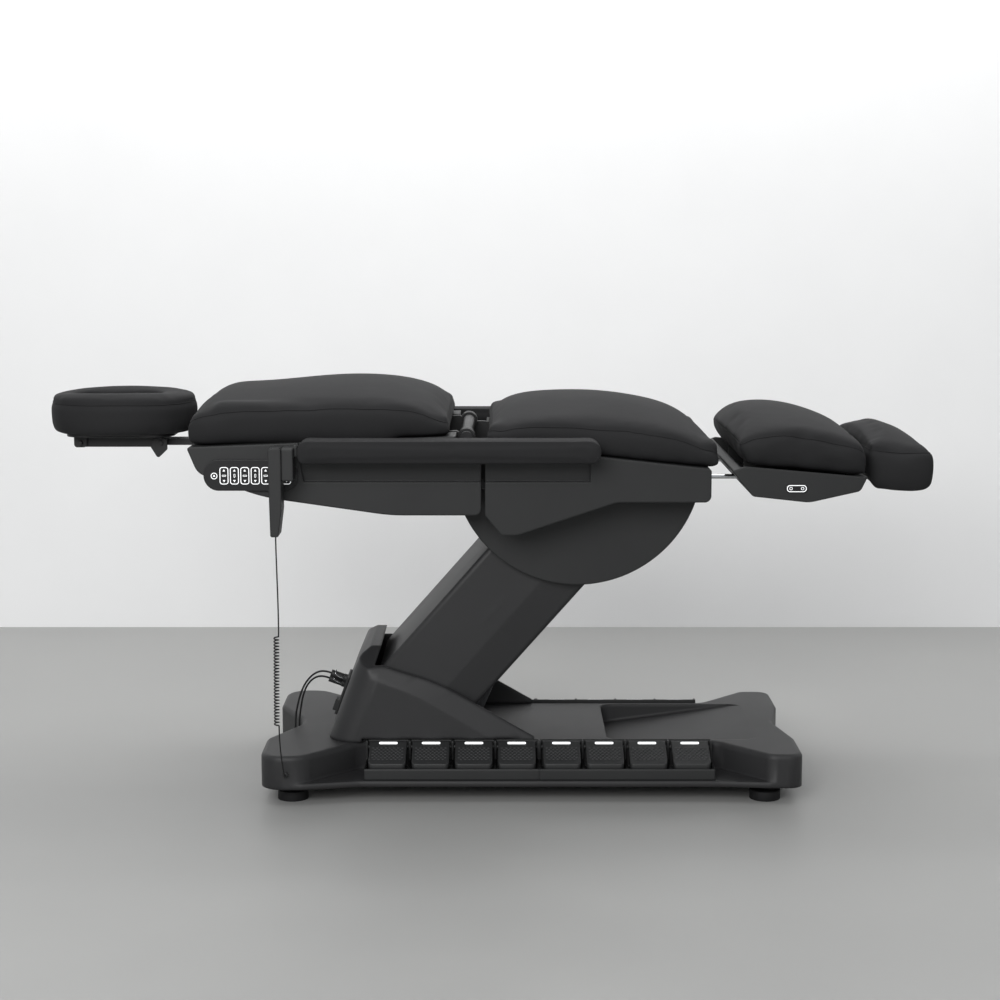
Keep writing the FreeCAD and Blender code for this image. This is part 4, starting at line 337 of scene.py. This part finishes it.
# %% [markdown]
# Two round leads leave the plugs on the tower's face, bow out under their own stiffness and go down into
# their glands in the base. They are 4.4 mm thick, and the photograph shows them from end to end. The routes
# are in millimetres, as in the CAD source.

# %% The two pedal leads
near_route = [(-341.45, -35, 228.35), (-356.95, -35, 234.02), (-378, -38, 229), (-396, -37, 211),
              (-409, -36, 186), (-417.5, -35, 156), (-423.5, -33.4, 124), (-423.5, -33.4, 92)]
far_route = [(-348.33, -5, 209.57), (-363.82, -5, 215.24), (-383, -9, 211), (-398, -8, 195),
             (-408, -7, 171), (-413.5, -6, 142), (-417.2, -6, 113), (-417.2, -6, 92)]
lead_thick = 0.0044
for name, route in (("pedal_lead_near", near_route), ("pedal_lead_far", far_route)):
    points = metres(route)
    length = run_of(points)[1]
    lead = line(name + "_jacket", points, lead_thick / 2)
    lead.data.materials.append(cord_jacket)
    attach(lead, "base")
    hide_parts(name)
    print(name, round(length, 3), "m")

# %% [markdown]
# The handset's 3 mm cord hangs straight, then runs through 28 tight curls, and its tail bends into a gland in
# the base. The curls are simply more control points of the same spline, twelve to a turn. The cord has to
# follow the handset when it is lifted off. Here it is made a mesh.

# %% Straight drop, curls and tail of the handset cord
cord_drop = [(-424, -350, 590), (-424, -350, 570), (-423, -350, 520), (-421.5, -350, 460), (-421, -350, 405),
             (-421.2, -350, 378.6)]
cord_tail = [(-423.2, -349, 189.1), (-423.2, -349, 170), (-422, -347, 140), (-420, -341, 112),
             (-418, -332, 86), (-417, -319, 70), (-417, -306, 70)]
curl_top, curl_bottom = Vector((-421.2, -350, 378)), Vector((-423.2, -350, 190))
curl_turns, curl_radius, points_per_turn = 28, 4.8, 12
cord_curls = []
for k in range(1, curl_turns * points_per_turn):
    share = k / (curl_turns * points_per_turn)
    turn = 2 * math.pi * curl_turns * share
    axis = curl_top.lerp(curl_bottom, share) - Vector((curl_radius, 0, 0))
    cord_curls.append(axis + Vector((math.cos(turn), math.sin(turn), 0)) * curl_radius)
cord_points = metres(cord_drop + cord_curls + cord_tail)
print("control points of the cord", len(cord_points))

# %% The handset cord along them
cord_thick, cord_smoothness = 0.003, 3
cord_path, cord_length = run_of(cord_points, cord_smoothness)
handset_cord = wire("handset_cord", cord_points, cord_thick / 2, cord_jacket, cord_smoothness)
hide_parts("handset_cord_drop", "handset_cord_coil", "handset_cord_tail")
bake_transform(handset_cord)
print("handset cord", round(cord_length, 3), "m,", len(handset_cord.data.polygons), "faces")

# %% [markdown]
# Each cushion is foam in a sewn leather cover: a crowned top panel, a band round its side, and a welt in the
# seam between them. It could be drawn by hand, but foam under a tight cover swells evenly, so each one starts
# from its CAD solid with blunt, rounded ends, is remeshed evenly, and is blown up as cloth. The stitching
# then pulls the cover in along the seam, and a thin welt is laid in the groove.

# %% Reading and moving a mesh's points


def coordinates(mesh, kind="co"):
    """The mesh's vertices, or their normals, as an array."""
    flat = np.empty(len(mesh.vertices) * 3)
    mesh.vertices.foreach_get(kind, flat)
    return flat.reshape(-1, 3)


def place_vertices(mesh, places):
    """Moves the mesh's vertices to those places."""
    mesh.vertices.foreach_set("co", np.ascontiguousarray(places, dtype=float).ravel())
    mesh.update()


print("points of the seat's CAD mesh", len(coordinates(nodes["seat_cushion"].data)))

# %% Foam blocks and an even skin


def rounded_block(shape, low, high, radius):
    """Adds a block with rounded edges between two corners."""
    size = Vector(high) - Vector(low)
    at = Matrix.Translation((Vector(low) + Vector(high)) / 2) @ Matrix.Diagonal((*size, 1))
    made = bmesh.ops.create_cube(shape, size=1.0, matrix=at)["verts"]
    edges = list({edge for vert in made for edge in vert.link_edges})
    bmesh.ops.bevel(shape, geom=edges, offset=radius, segments=4, affect="EDGES", profile=0.5, material=-1)


def even_skin(name, node, blocks, voxel):
    """The CAD solid and its foam blocks as one closed skin of even quads."""
    shape = bmesh.new()
    shape.from_mesh(nodes[node].data)
    bmesh.ops.remove_doubles(shape, verts=shape.verts, dist=weld_gap)
    for low, high, radius in blocks:
        rounded_block(shape, low, high, radius)
    mesh = bpy.data.meshes.new(name)
    shape.to_mesh(mesh)
    shape.free()
    piece = in_scene(name, mesh)
    skin = piece.modifiers.new("skin", "REMESH")
    skin.mode = "VOXEL"
    skin.voxel_size = voxel
    piece.data = made_mesh(piece)
    piece.modifiers.clear()
    piece.data.materials.clear()
    piece.data.materials.append(black_leather)
    return piece


print("cushions to dress", [name for name in nodes if name.endswith("cushion")])

# %% Swelling and smoothing
# A point rests on what carries the cushion where its normal's height is below this
facing_down = -0.6


def blow_up(piece, less, cap, frames=20):
    """Draws the skin in, blows it up as cloth and caps each point's way, with the underside kept flat."""
    start = coordinates(piece.data)
    ways = coordinates(piece.data, "normal")
    resting = ways[:, 2] < facing_down
    before = start - ways * less
    before[resting, 2] = start[resting, 2]
    place_vertices(piece.data, before)
    cloth = piece.modifiers.new("cloth", "CLOTH")
    cloth.settings.use_pressure = True
    cloth.settings.uniform_pressure_force = 4
    cloth.settings.effector_weights.gravity = 0
    cloth.settings.quality = 4
    cloth.collision_settings.use_collision = False
    cloth.point_cache.frame_end = frames
    for step in range(1, frames + 1):
        scene.frame_set(step)
    swollen = piece.evaluated_get(bpy.context.evaluated_depsgraph_get())
    move = coordinates(swollen.to_mesh()) - before
    swollen.to_mesh_clear()
    piece.modifiers.clear()
    scene.frame_set(1)
    reach = np.linalg.norm(move, axis=1, keepdims=True)
    move *= np.minimum(1, cap / np.maximum(reach, 1e-9))
    move[resting, 2] = np.maximum(move[resting, 2], 0)
    place_vertices(piece.data, before + move)


def eased(piece, rounds):
    """Evens out the skin's small ripples."""
    shape = bmesh.new()
    shape.from_mesh(piece.data)
    for _ in range(rounds):
        bmesh.ops.smooth_vert(shape, verts=shape.verts, factor=0.5,
                              use_axis_x=True, use_axis_y=True, use_axis_z=True)
    shape.to_mesh(piece.data)
    shape.free()


print("cloth simulation", "on")

# %% Seams on a skin
seam_depth, seam_width = 0.0026, 0.008


def on_skin(piece, points):
    """Points moved to the nearest place on a mesh."""
    tree = BVHTree.FromObject(piece, bpy.context.evaluated_depsgraph_get())
    return [tree.find_nearest(point)[0] for point in points]


def close_set(points, step=0.004):
    """A run of points set about a step apart."""
    out = []
    for a, b in zip(points, points[1:]):
        count = max(1, int((b - a).length / step))
        out += [a.lerp(b, k / count) for k in range(count)]
    return out + [points[-1]]


def stitched(piece, seams):
    """Pulls the cover in along its seams, as the thread does."""
    points = [point for seam in seams for point in seam]
    tree = KDTree(len(points))
    for index, point in enumerate(points):
        tree.insert(point, index)
    tree.balance()
    places, ways = coordinates(piece.data), coordinates(piece.data, "normal")
    for index, place in enumerate(places):
        gap = tree.find(place)[2]
        if gap < 3 * seam_width:
            places[index] -= ways[index] * seam_depth * math.exp(-(gap / seam_width) ** 2)
    place_vertices(piece.data, places)


print("a seam pulls the cover in by", seam_depth * 1000, "mm")

# %% One cushion from skin to welt
welt_radius, welt_stride, welt_smoothness = 0.001, 3, 2


def cushion(node, body, seams, blocks=(), voxel=0.006, less=0.004, cap=0.01, rounds=12):
    """Blows up a CAD cushion, stitches its seams and lays a welt along each."""
    piece = even_skin(node + "_cover", node, blocks, voxel)
    blow_up(piece, less, cap)
    eased(piece, rounds)
    seams = [close_set(on_skin(piece, close_set(seam))) for seam in seams]
    if seams:
        stitched(piece, seams)
    smooth = piece.modifiers.new("smooth", "SUBSURF")
    smooth.levels = smooth.render_levels = 1
    piece.data = made_mesh(piece)
    piece.modifiers.clear()
    piece.data.shade_smooth()
    for index, seam in enumerate(seams):
        groove = on_skin(piece, seam[::welt_stride] + seam[-1:])
        welt = wire("%s_welt_%d" % (node, index), groove, welt_radius, welt_leather, welt_smoothness)
        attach(welt, body)
    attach(piece, body)
    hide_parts(node)
    print(node, len(piece.data.polygons), "faces")


# %% [markdown]
# The seam runs round each cushion where the crowned top meets the side band. Its height changes along the
# cushion as the CAD solid's wall does, so it is drawn from the same stations: the share of the length, of the
# wall's height and of the width.

# %% Seam lines of the four long cushions
back_stations = [(0, .8, .95), (.03, .88, .985), (.2, 1.02, 1), (.5, 1.12, 1), (.7, 1.03, 1), (.87, .8, 1),
                 (.96, .58, .985), (1, .48, .955)]
seat_stations = [(0, .5, .94), (.08, .62, .985), (.19, .75, 1), (.36, .9, 1), (.6, 1, 1), (.8, .9, 1),
                 (.9, .78, .99), (.97, .66, .975), (1, .56, .95)]
leg_stations = [(0, .55, .95), (.15, .85, .99), (.35, 1, 1), (.6, .96, 1), (.85, .85, 1), (.96, .75, .99),
                (1, .68, .96)]
foot_stations = [(0, .9, .94), (.18, .93, .99), (.5, .93, 1), (.85, .93, .99), (1, .88, .95)]


def seam_round(ends, lows, wall, half, stations, lean=0.0, lean_until=0.4, inset=0.004):
    """The closed line where the top panel meets the side band, between two ends over two low edges."""
    near = []
    for along, wall_share, width_share in stations:
        low = lows[0] + (lows[1] - lows[0]) * along
        up = wall * wall_share
        slant = lean * max(0, 1 - along / lean_until)
        x = ends[0] + (ends[1] - ends[0]) * along - slant * up
        near.append(Vector((x, -half * width_share + inset, low + up)))
    far = [Vector((p.x, -p.y, p.z)) for p in near]
    return [near + far[::-1] + near[:1]]


back_seam = seam_round((-0.622, -0.056), (0.765, 0.787), wall=0.072, half=0.3, stations=back_stations)
seat_seam = seam_round((-0.003, 0.502), (0.772, 0.717), wall=0.065, half=0.3, stations=seat_stations)
leg_seam = seam_round((0.544, 0.806), (0.724, 0.701), wall=0.078, half=0.29, stations=leg_stations, lean=0.55)
foot_seam = seam_round((0.818, 0.953), (0.668, 0.668), wall=0.09, half=0.22, stations=foot_stations)
print("points of the back's seam", len(back_seam[0]))

# %% [markdown]
# Some of the CAD solids end in thin edges where the real foam is cut square, so blocks with rounded edges
# fill those ends and sides. Each block is given by its lowest corner, its highest corner and its radius.

# %% Back, seat, leg and foot cushions
cushion("back_cushion", "back", back_seam, voxel=0.0064,
        blocks=[((-0.625, -0.29, 0.766), (-0.57, 0.29, 0.824), 0.024),
                ((-0.1, -0.288, 0.788), (-0.056, 0.288, 0.828), 0.017),
                ((-0.57, -0.3, 0.768), (-0.17, -0.22, 0.852), 0.024),
                ((-0.57, 0.22, 0.768), (-0.17, 0.3, 0.852), 0.024)])
cushion("seat_cushion", "seat", seat_seam,
        blocks=[((-0.002, -0.285, 0.773), (0.045, 0.285, 0.808), 0.016),
                ((0.44, -0.288, 0.722), (0.502, 0.288, 0.773), 0.024)])
cushion("leg_cushion", "leg_rest", leg_seam, rounds=14)
cushion("foot_cushion", "leg_rest", foot_seam, voxel=0.005, cap=0.006, rounds=10,
        blocks=[((0.819, -0.216, 0.665), (0.953, 0.216, 0.738), 0.016)])

# %% [markdown]
# The cradle is a ring of foam with a face hole, sewn along its outer and its inner edge. Both seams are ovals
# with blunt corners. The arm rests are moulded foam with a skin of their own, with no seam and a crisper
# edge, so they are remeshed more finely and hardly blown up.

# %% Cradle and arm rests


def blunt_oval(x, z, length, width, bluntness=0.77, count=96):
    """A closed oval that is fuller at its corners than an ellipse."""
    points = []
    for k in range(count):
        c, s = math.cos(2 * math.pi * k / count), math.sin(2 * math.pi * k / count)
        points.append(Vector((x + length / 2 * math.copysign(abs(c) ** bluntness, c),
                              width / 2 * math.copysign(abs(s) ** bluntness, s), z)))
    return points + points[:1]


outer_seam = blunt_oval(x=-0.793, z=0.838, length=0.318, width=0.284)
face_seam = blunt_oval(x=-0.807, z=0.845, length=0.196, width=0.13)
cushion("cradle_cushion", "cradle", [outer_seam, face_seam], voxel=0.005, cap=0.006, rounds=6)
cushion("arm_rests", "seat", [], voxel=0.004, less=0.001, cap=0.0015, rounds=1)

# %% [markdown]
# Sixteen pedals tilt in their trays. Each one has a lit window along its rear edge and a patch of low raised
# diamonds that keeps a shoe from slipping. A diamond is a cone of four sides cut off low. One patch is made
# on a flat frame and then copied onto each pedal.

# %% Small rigid shapes
sides = (("near", -1), ("far", 1))
pedals_on_a_side = 8
pedal_rear, pedal_front = (0.184, 0.112), (0.26, 0.081)


def mesh_piece(name, shape, material):
    """An object at the origin from a bmesh, which is then done with."""
    bmesh.ops.recalc_face_normals(shape, faces=shape.faces)
    mesh = bpy.data.meshes.new(name)
    shape.to_mesh(mesh)
    shape.free()
    mesh.materials.append(material)
    return in_scene(name, mesh)


def join_at(shape, small, at):
    """Puts a small bmesh into a larger one at a place."""
    bmesh.ops.transform(small, matrix=at, verts=small.verts)
    mesh = bpy.data.meshes.new("small")
    small.to_mesh(mesh)
    small.free()
    shape.from_mesh(mesh)
    bpy.data.meshes.remove(mesh)


def rounded_bar(shape, at, sizes, end_share=0.45, rim_share=0.3):
    """Adds a flat bar with round ends and a softened upper rim, centred on its frame."""
    thick = sizes[2]
    bar = bmesh.new()
    bmesh.ops.create_cube(bar, size=1.0, matrix=Matrix.Diagonal((*sizes, 1)))
    upright = [e for e in bar.edges if abs(e.verts[0].co.z - e.verts[1].co.z) > thick / 2]
    bmesh.ops.bevel(bar, geom=upright, offset=min(sizes[:2]) * end_share, segments=4, affect="EDGES",
                    profile=0.5, material=-1)
    rim = [e for e in bar.edges if all(v.co.z > 0 for v in e.verts)]
    bmesh.ops.bevel(bar, geom=rim, offset=thick * rim_share, segments=2, affect="EDGES", profile=0.5,
                    material=-1)
    join_at(shape, bar, at)


print("pedals to dress", len(sides) * pedals_on_a_side)

# %% A patch of diamonds
grip_rows, grip_columns, grip_pitch, row_share = 8, 8, 0.009, 0.62
diamond_foot, diamond_top, diamond_height, diamond_squeeze = 0.0042, 0.0021, 0.0018, 0.75
diamond_lift, diamond_faces = 0.0008, 6
grip = bmesh.new()
for grip_row in range(grip_rows):
    short = grip_row % 2
    along = (grip_row - (grip_rows - 1) / 2) * grip_pitch * row_share
    for column in range(grip_columns - short):
        across = (column - (grip_columns - 1 - short) / 2) * grip_pitch
        at = Matrix.Translation((across, along, diamond_lift)) @ Matrix.Diagonal((1, diamond_squeeze, 1, 1))
        bmesh.ops.create_cone(grip, cap_ends=True, segments=4, radius1=diamond_foot, radius2=diamond_top,
                              depth=diamond_height, matrix=at)
print("diamonds in a patch", len(grip.faces) // diamond_faces)

# %% Light bars and grips on the sixteen pedals
window_size, window_in, window_rise = (0.04, 0.0065, 0.0022), 0.0085, 0.0004
grip_in, grip_sink = 0.045, 0.0003
for side_name, side in sides:
    slope = (side * (pedal_front[0] - pedal_rear[0]), pedal_front[1] - pedal_rear[1])
    down = Vector((0, *slope)).normalized()
    across = Vector((side, 0, 0))
    up = across.cross(down)
    turn = Matrix((across, down, up)).transposed().to_4x4()
    for number in range(1, pedals_on_a_side + 1):
        node = "pedal_%s_%d" % (side_name, number)
        low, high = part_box(node)
        rear = Vector(((low[0] + high[0]) / 2, side * pedal_rear[0], pedal_rear[1]))
        window = bmesh.new()
        window_at = Matrix.Translation(rear + down * window_in + up * window_rise) @ turn
        rounded_bar(window, window_at, window_size)
        patch = grip.copy()
        patch_at = Matrix.Translation(rear + down * grip_in - up * grip_sink) @ turn
        bmesh.ops.transform(patch, matrix=patch_at, verts=patch.verts)
        light = mesh_piece(node + "_light", window, light_bar)
        # The diamonds carry the lighter grip material, a painted highlight.
        tread = mesh_piece(node + "_grip", patch, grip_abs_painted_highlight)
        for piece in (light, tread):
            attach(piece, node)
grip.free()
print("last pedal dressed", node)

# %% [markdown]
# The pods on the back and the switches on the leg part are membrane panels with white screen print: a loop
# round each key, with plain arrows in it. Each loop is a flat face with its corners beveled, inset once to
# leave only its border. Ink is thinner than a hair, so the print is given 1 mm of thickness, of which 0.4 mm
# stands proud, so that it shows from the side.

# %% Loops and arrows
ink_thick, ink_sunk = 0.001, 0.0006


def printed(marks, mark, at):
    """Gives a flat mark its thickness and puts it on a panel."""
    raised = bmesh.ops.extrude_face_region(mark, geom=mark.faces[:])["geom"]
    upper = [part for part in raised if isinstance(part, bmesh.types.BMVert)]
    bmesh.ops.translate(mark, vec=(0, 0, ink_thick), verts=upper)
    bmesh.ops.translate(mark, vec=(0, 0, -ink_sunk), verts=mark.verts)
    join_at(marks, mark, at)


def key_loop(marks, at, x, y, wide, high, corner, thick):
    """Prints a rounded loop about a point of a panel."""
    mark = bmesh.new()
    bmesh.ops.create_grid(mark, x_segments=1, y_segments=1, size=0.5,
                          matrix=Matrix.Diagonal((wide, high, 1, 1)))
    bmesh.ops.bevel(mark, geom=mark.verts[:], offset=corner, segments=5, affect="VERTICES", profile=0.5,
                    material=-1)
    border = set(bmesh.ops.inset_region(mark, faces=mark.faces[:], thickness=thick, use_boundary=True,
                                        use_even_offset=True)["faces"])
    bmesh.ops.delete(mark, geom=[face for face in mark.faces if face not in border], context="FACES")
    printed(marks, mark, at @ Matrix.Translation((x, y, 0)))


def key_arrow(marks, at, x, y, size, way):
    """Prints a small solid arrow that points up (way 1) or down (way -1)."""
    mark = bmesh.new()
    bmesh.ops.create_circle(mark, cap_ends=True, segments=3, radius=size,
                            matrix=Matrix.Diagonal((1, way, 1, 1)))
    printed(marks, mark, at @ Matrix.Translation((x, y, 0)))


def side_panel(y, side):
    """A frame on a side face, its first axis along the chair and its second up."""
    return Matrix(((1, 0, 0, 0), (0, 0, side, y), (0, 1, 0, 0), (0, 0, 0, 1)))


print("ink stands proud by", round((ink_thick - ink_sunk) * 1000, 2), "mm")

# %% [markdown]
# A pod has one round key and seven tall ones, each with an arrow up, an arrow down and a small sign between
# them. A loop is given by its width, its height, the radius of its corners and the width of its line.

# %% Print on a pod of the back
round_key, tall_key = (0.0135, 0.0135, 0.0064, 0.0014), (0.0182, 0.036, 0.0055, 0.0016)
flat_sign, upright_sign = (0.0085, 0.0035, 0.0015, 0.0009), (0.0036, 0.0075, 0.0015, 0.0009)
round_place, first_tall, key_pitch, tall_keys = (-0.554, 0.707), (-0.5335, 0.7075), 0.0215, 7
round_arrow, tall_arrow, arrow_way = 0.003, 0.0031, 0.0105
pod_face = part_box("control_panels")[1][1]


def pod_print(side):
    """The print of the keys on the pod of one side."""
    at = side_panel(side * pod_face, side)
    marks = bmesh.new()
    key_loop(marks, at, *round_place, *round_key)
    key_arrow(marks, at, *round_place, round_arrow, 1)
    for key in range(tall_keys):
        x, z = first_tall[0] + key * key_pitch, first_tall[1]
        key_loop(marks, at, x, z, *tall_key)
        for way in (-1, 1):
            key_arrow(marks, at, x, z + way * arrow_way, tall_arrow, way)
        key_loop(marks, at, x, z, *(upright_sign if key % 2 else flat_sign))
    return marks


print("keys on a pod", 1 + tall_keys)

# %% Print on a switch of the leg part
switch_loop, switch_key, switch_way = (0.041, 0.0145, 0.0065, 0.0016), (0.0065, 0.0065, 0.003, 0.001), 0.012
switch_low, switch_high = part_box("leg_switches")
switch_x, switch_z = (switch_low[0] + switch_high[0]) / 2, (switch_low[2] + switch_high[2]) / 2


def switch_print(side):
    """The print of the two keys on the switch of one side."""
    at = side_panel(side * switch_high[1], side)
    marks = bmesh.new()
    key_loop(marks, at, switch_x, switch_z, *switch_loop)
    for way in (-1, 1):
        key_loop(marks, at, switch_x + way * switch_way, switch_z, *switch_key)
    return marks


print("switches at", round(switch_x, 3), round(switch_z, 3))

# %% The print on both sides
for side_name, side in sides:
    for name, marks, body in (("panel_print_", pod_print(side), "back"),
                              ("switch_print_", switch_print(side), "leg_rest")):
        keys = mesh_piece(name + side_name, marks, white_print)
        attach(keys, body)
        print(keys.name, len(keys.data.polygons), "faces")

# %% [markdown]
# A wire bail swings over each plug on the tower and holds it in its socket. It is one loop of 1.6 mm chromed
# wire, so a few control points across the plug and back to the panel are enough. One half of the loop is
# given, as ways out from the panel, across the plug and up from it, and the other half mirrors it.

# %% Two wire bails
plug_out, plug_up = Vector((-0.939, 0, 0.344)), Vector((0.344, 0, 0.939))
plug_length, bail_radius, bail_smoothness = 0.03, 0.0008, 6
bail_half = [(0.001, -0.0125, 0), (0.012, -0.0125, 0), (0.02, -0.012, 0.004), (0.022, -0.009, 0.0095)]
bail_top = (0.022, 0, 0.0105)
bail_loop = bail_half + [bail_top] + [(out, -across, rise) for out, across, rise in reversed(bail_half)]
for index, route in enumerate((near_route, far_route)):
    root = Vector(route[0]) / 1000 - plug_out * plug_length
    bail = [root + plug_out * out + Vector((0, across, 0)) + plug_up * rise
            for out, across, rise in bail_loop]
    latch = wire("plug_bail_%d" % index, bail, bail_radius, chrome, bail_smoothness)
    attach(latch, "base")
    print(latch.name, len(latch.data.polygons), "faces")

# %% [markdown]
# The chair stands on a plain grey stone floor before a white wall. The floor's tone drifts a little, as honed
# stone does, with no pattern. The wall is clear from behind, so that the chair can also be looked at from
# there: a Mix Shader takes the transparent side where the wall shows its back.

# %% Honed stone and wall paint
stone_mm, paint_mm = 700, 350
stone, tree, shader, place = started("grey_stone_honed")
drift = add(tree, "ShaderNodeTexNoise", {"Vector": place}, {"Scale": 1000 / stone_mm, "Detail": 7})
tone = add(tree, "ShaderNodeMix", {"Factor": drift.outputs["Fac"]},
           {mix_a: linear("929291"), mix_b: linear("a2a2a0")}, data_type="RGBA")
gloss = add(tree, "ShaderNodeMapRange", {"Value": drift.outputs["Fac"]}, {"To Min": 0.4, "To Max": 0.55})
tree.links.new(tone.outputs[mix_result], shader.inputs["Base Color"])
tree.links.new(gloss.outputs["Result"], shader.inputs["Roughness"])
paint, tree, shader, place = started("white_wall_paint")
drift = add(tree, "ShaderNodeTexNoise", {"Vector": place}, {"Scale": 1000 / paint_mm, "Detail": 3})
tone = add(tree, "ShaderNodeMix", {"Factor": drift.outputs["Fac"]},
           {mix_a: linear("f0f0f0"), mix_b: linear("f6f6f6")}, data_type="RGBA")
tree.links.new(tone.outputs[mix_result], shader.inputs["Base Color"])
shader.inputs["Roughness"].default_value = 0.9
behind = add(tree, "ShaderNodeNewGeometry").outputs["Backfacing"]
clear = add(tree, "ShaderNodeBsdfTransparent").outputs["BSDF"]
one_way = add(tree, "ShaderNodeMixShader", {0: behind, 1: shader.outputs["BSDF"], 2: clear})
tree.links.new(one_way.outputs["Shader"], tree.nodes["Material Output"].inputs["Surface"])
print("studio materials", stone.name, paint.name)

# %% Floor and wall
wall_y, wall_height, floor_front, stage_width = 1.55, 7, 6, 16
upright = Matrix.Rotation(math.radians(90), 4, "X")
floor_at = Matrix.Translation((0, (wall_y - floor_front) / 2, 0))
wall_at = Matrix.Translation((0, wall_y, wall_height / 2)) @ upright
for name, material, at, deep in (("floor", stone, floor_at, wall_y + floor_front),
                                 ("wall", paint, wall_at, wall_height)):
    panel = bmesh.new()
    bmesh.ops.create_grid(panel, x_segments=1, y_segments=1, size=0.5,
                          matrix=at @ Matrix.Diagonal((stage_width, deep, 1, 1)))
    mesh = bpy.data.meshes.new(name)
    panel.to_mesh(mesh)
    panel.free()
    mesh.materials.append(material)
    in_scene(name, mesh)
    print(name, stage_width, "by", deep, "m")

# %% [markdown]
# A large soft light hangs overhead, a second one stands further off in front, and a long one washes the wall.
# A pale world fills the shadows. The Standard view keeps the tones as they are lit.

# %% Lights
world_strength = 0.5
for name, place, target, size, power in (
        ("overhead", (0.2, -0.3, 3.4), (0, 0, 0.6), (4.0, 2.4), 36),
        ("front", (-1.2, -4.6, 2.6), (0, 0, 0.5), (3.0, 2.0), 150),
        ("wall_wash", (0, 0.9, 3.2), (0, wall_y, 1.2), (6.0, 0.6), 48)):
    data = bpy.data.lights.new(name, "AREA")
    data.shape = "RECTANGLE"
    data.size, data.size_y = size
    data.energy = power
    lamp = in_scene(name, data)
    lamp.location = place
    lamp.rotation_euler = (Vector(target) - Vector(place)).to_track_quat("-Z", "Y").to_euler()
world = bpy.data.worlds.new("studio")
world.use_nodes = True
background = world.node_tree.nodes["Background"]
background.inputs["Color"].default_value = linear("f4f6f8")
background.inputs["Strength"].default_value = world_strength
scene.world = world
scene.view_settings.view_transform = "Standard"
print("lights", len(bpy.data.lights))
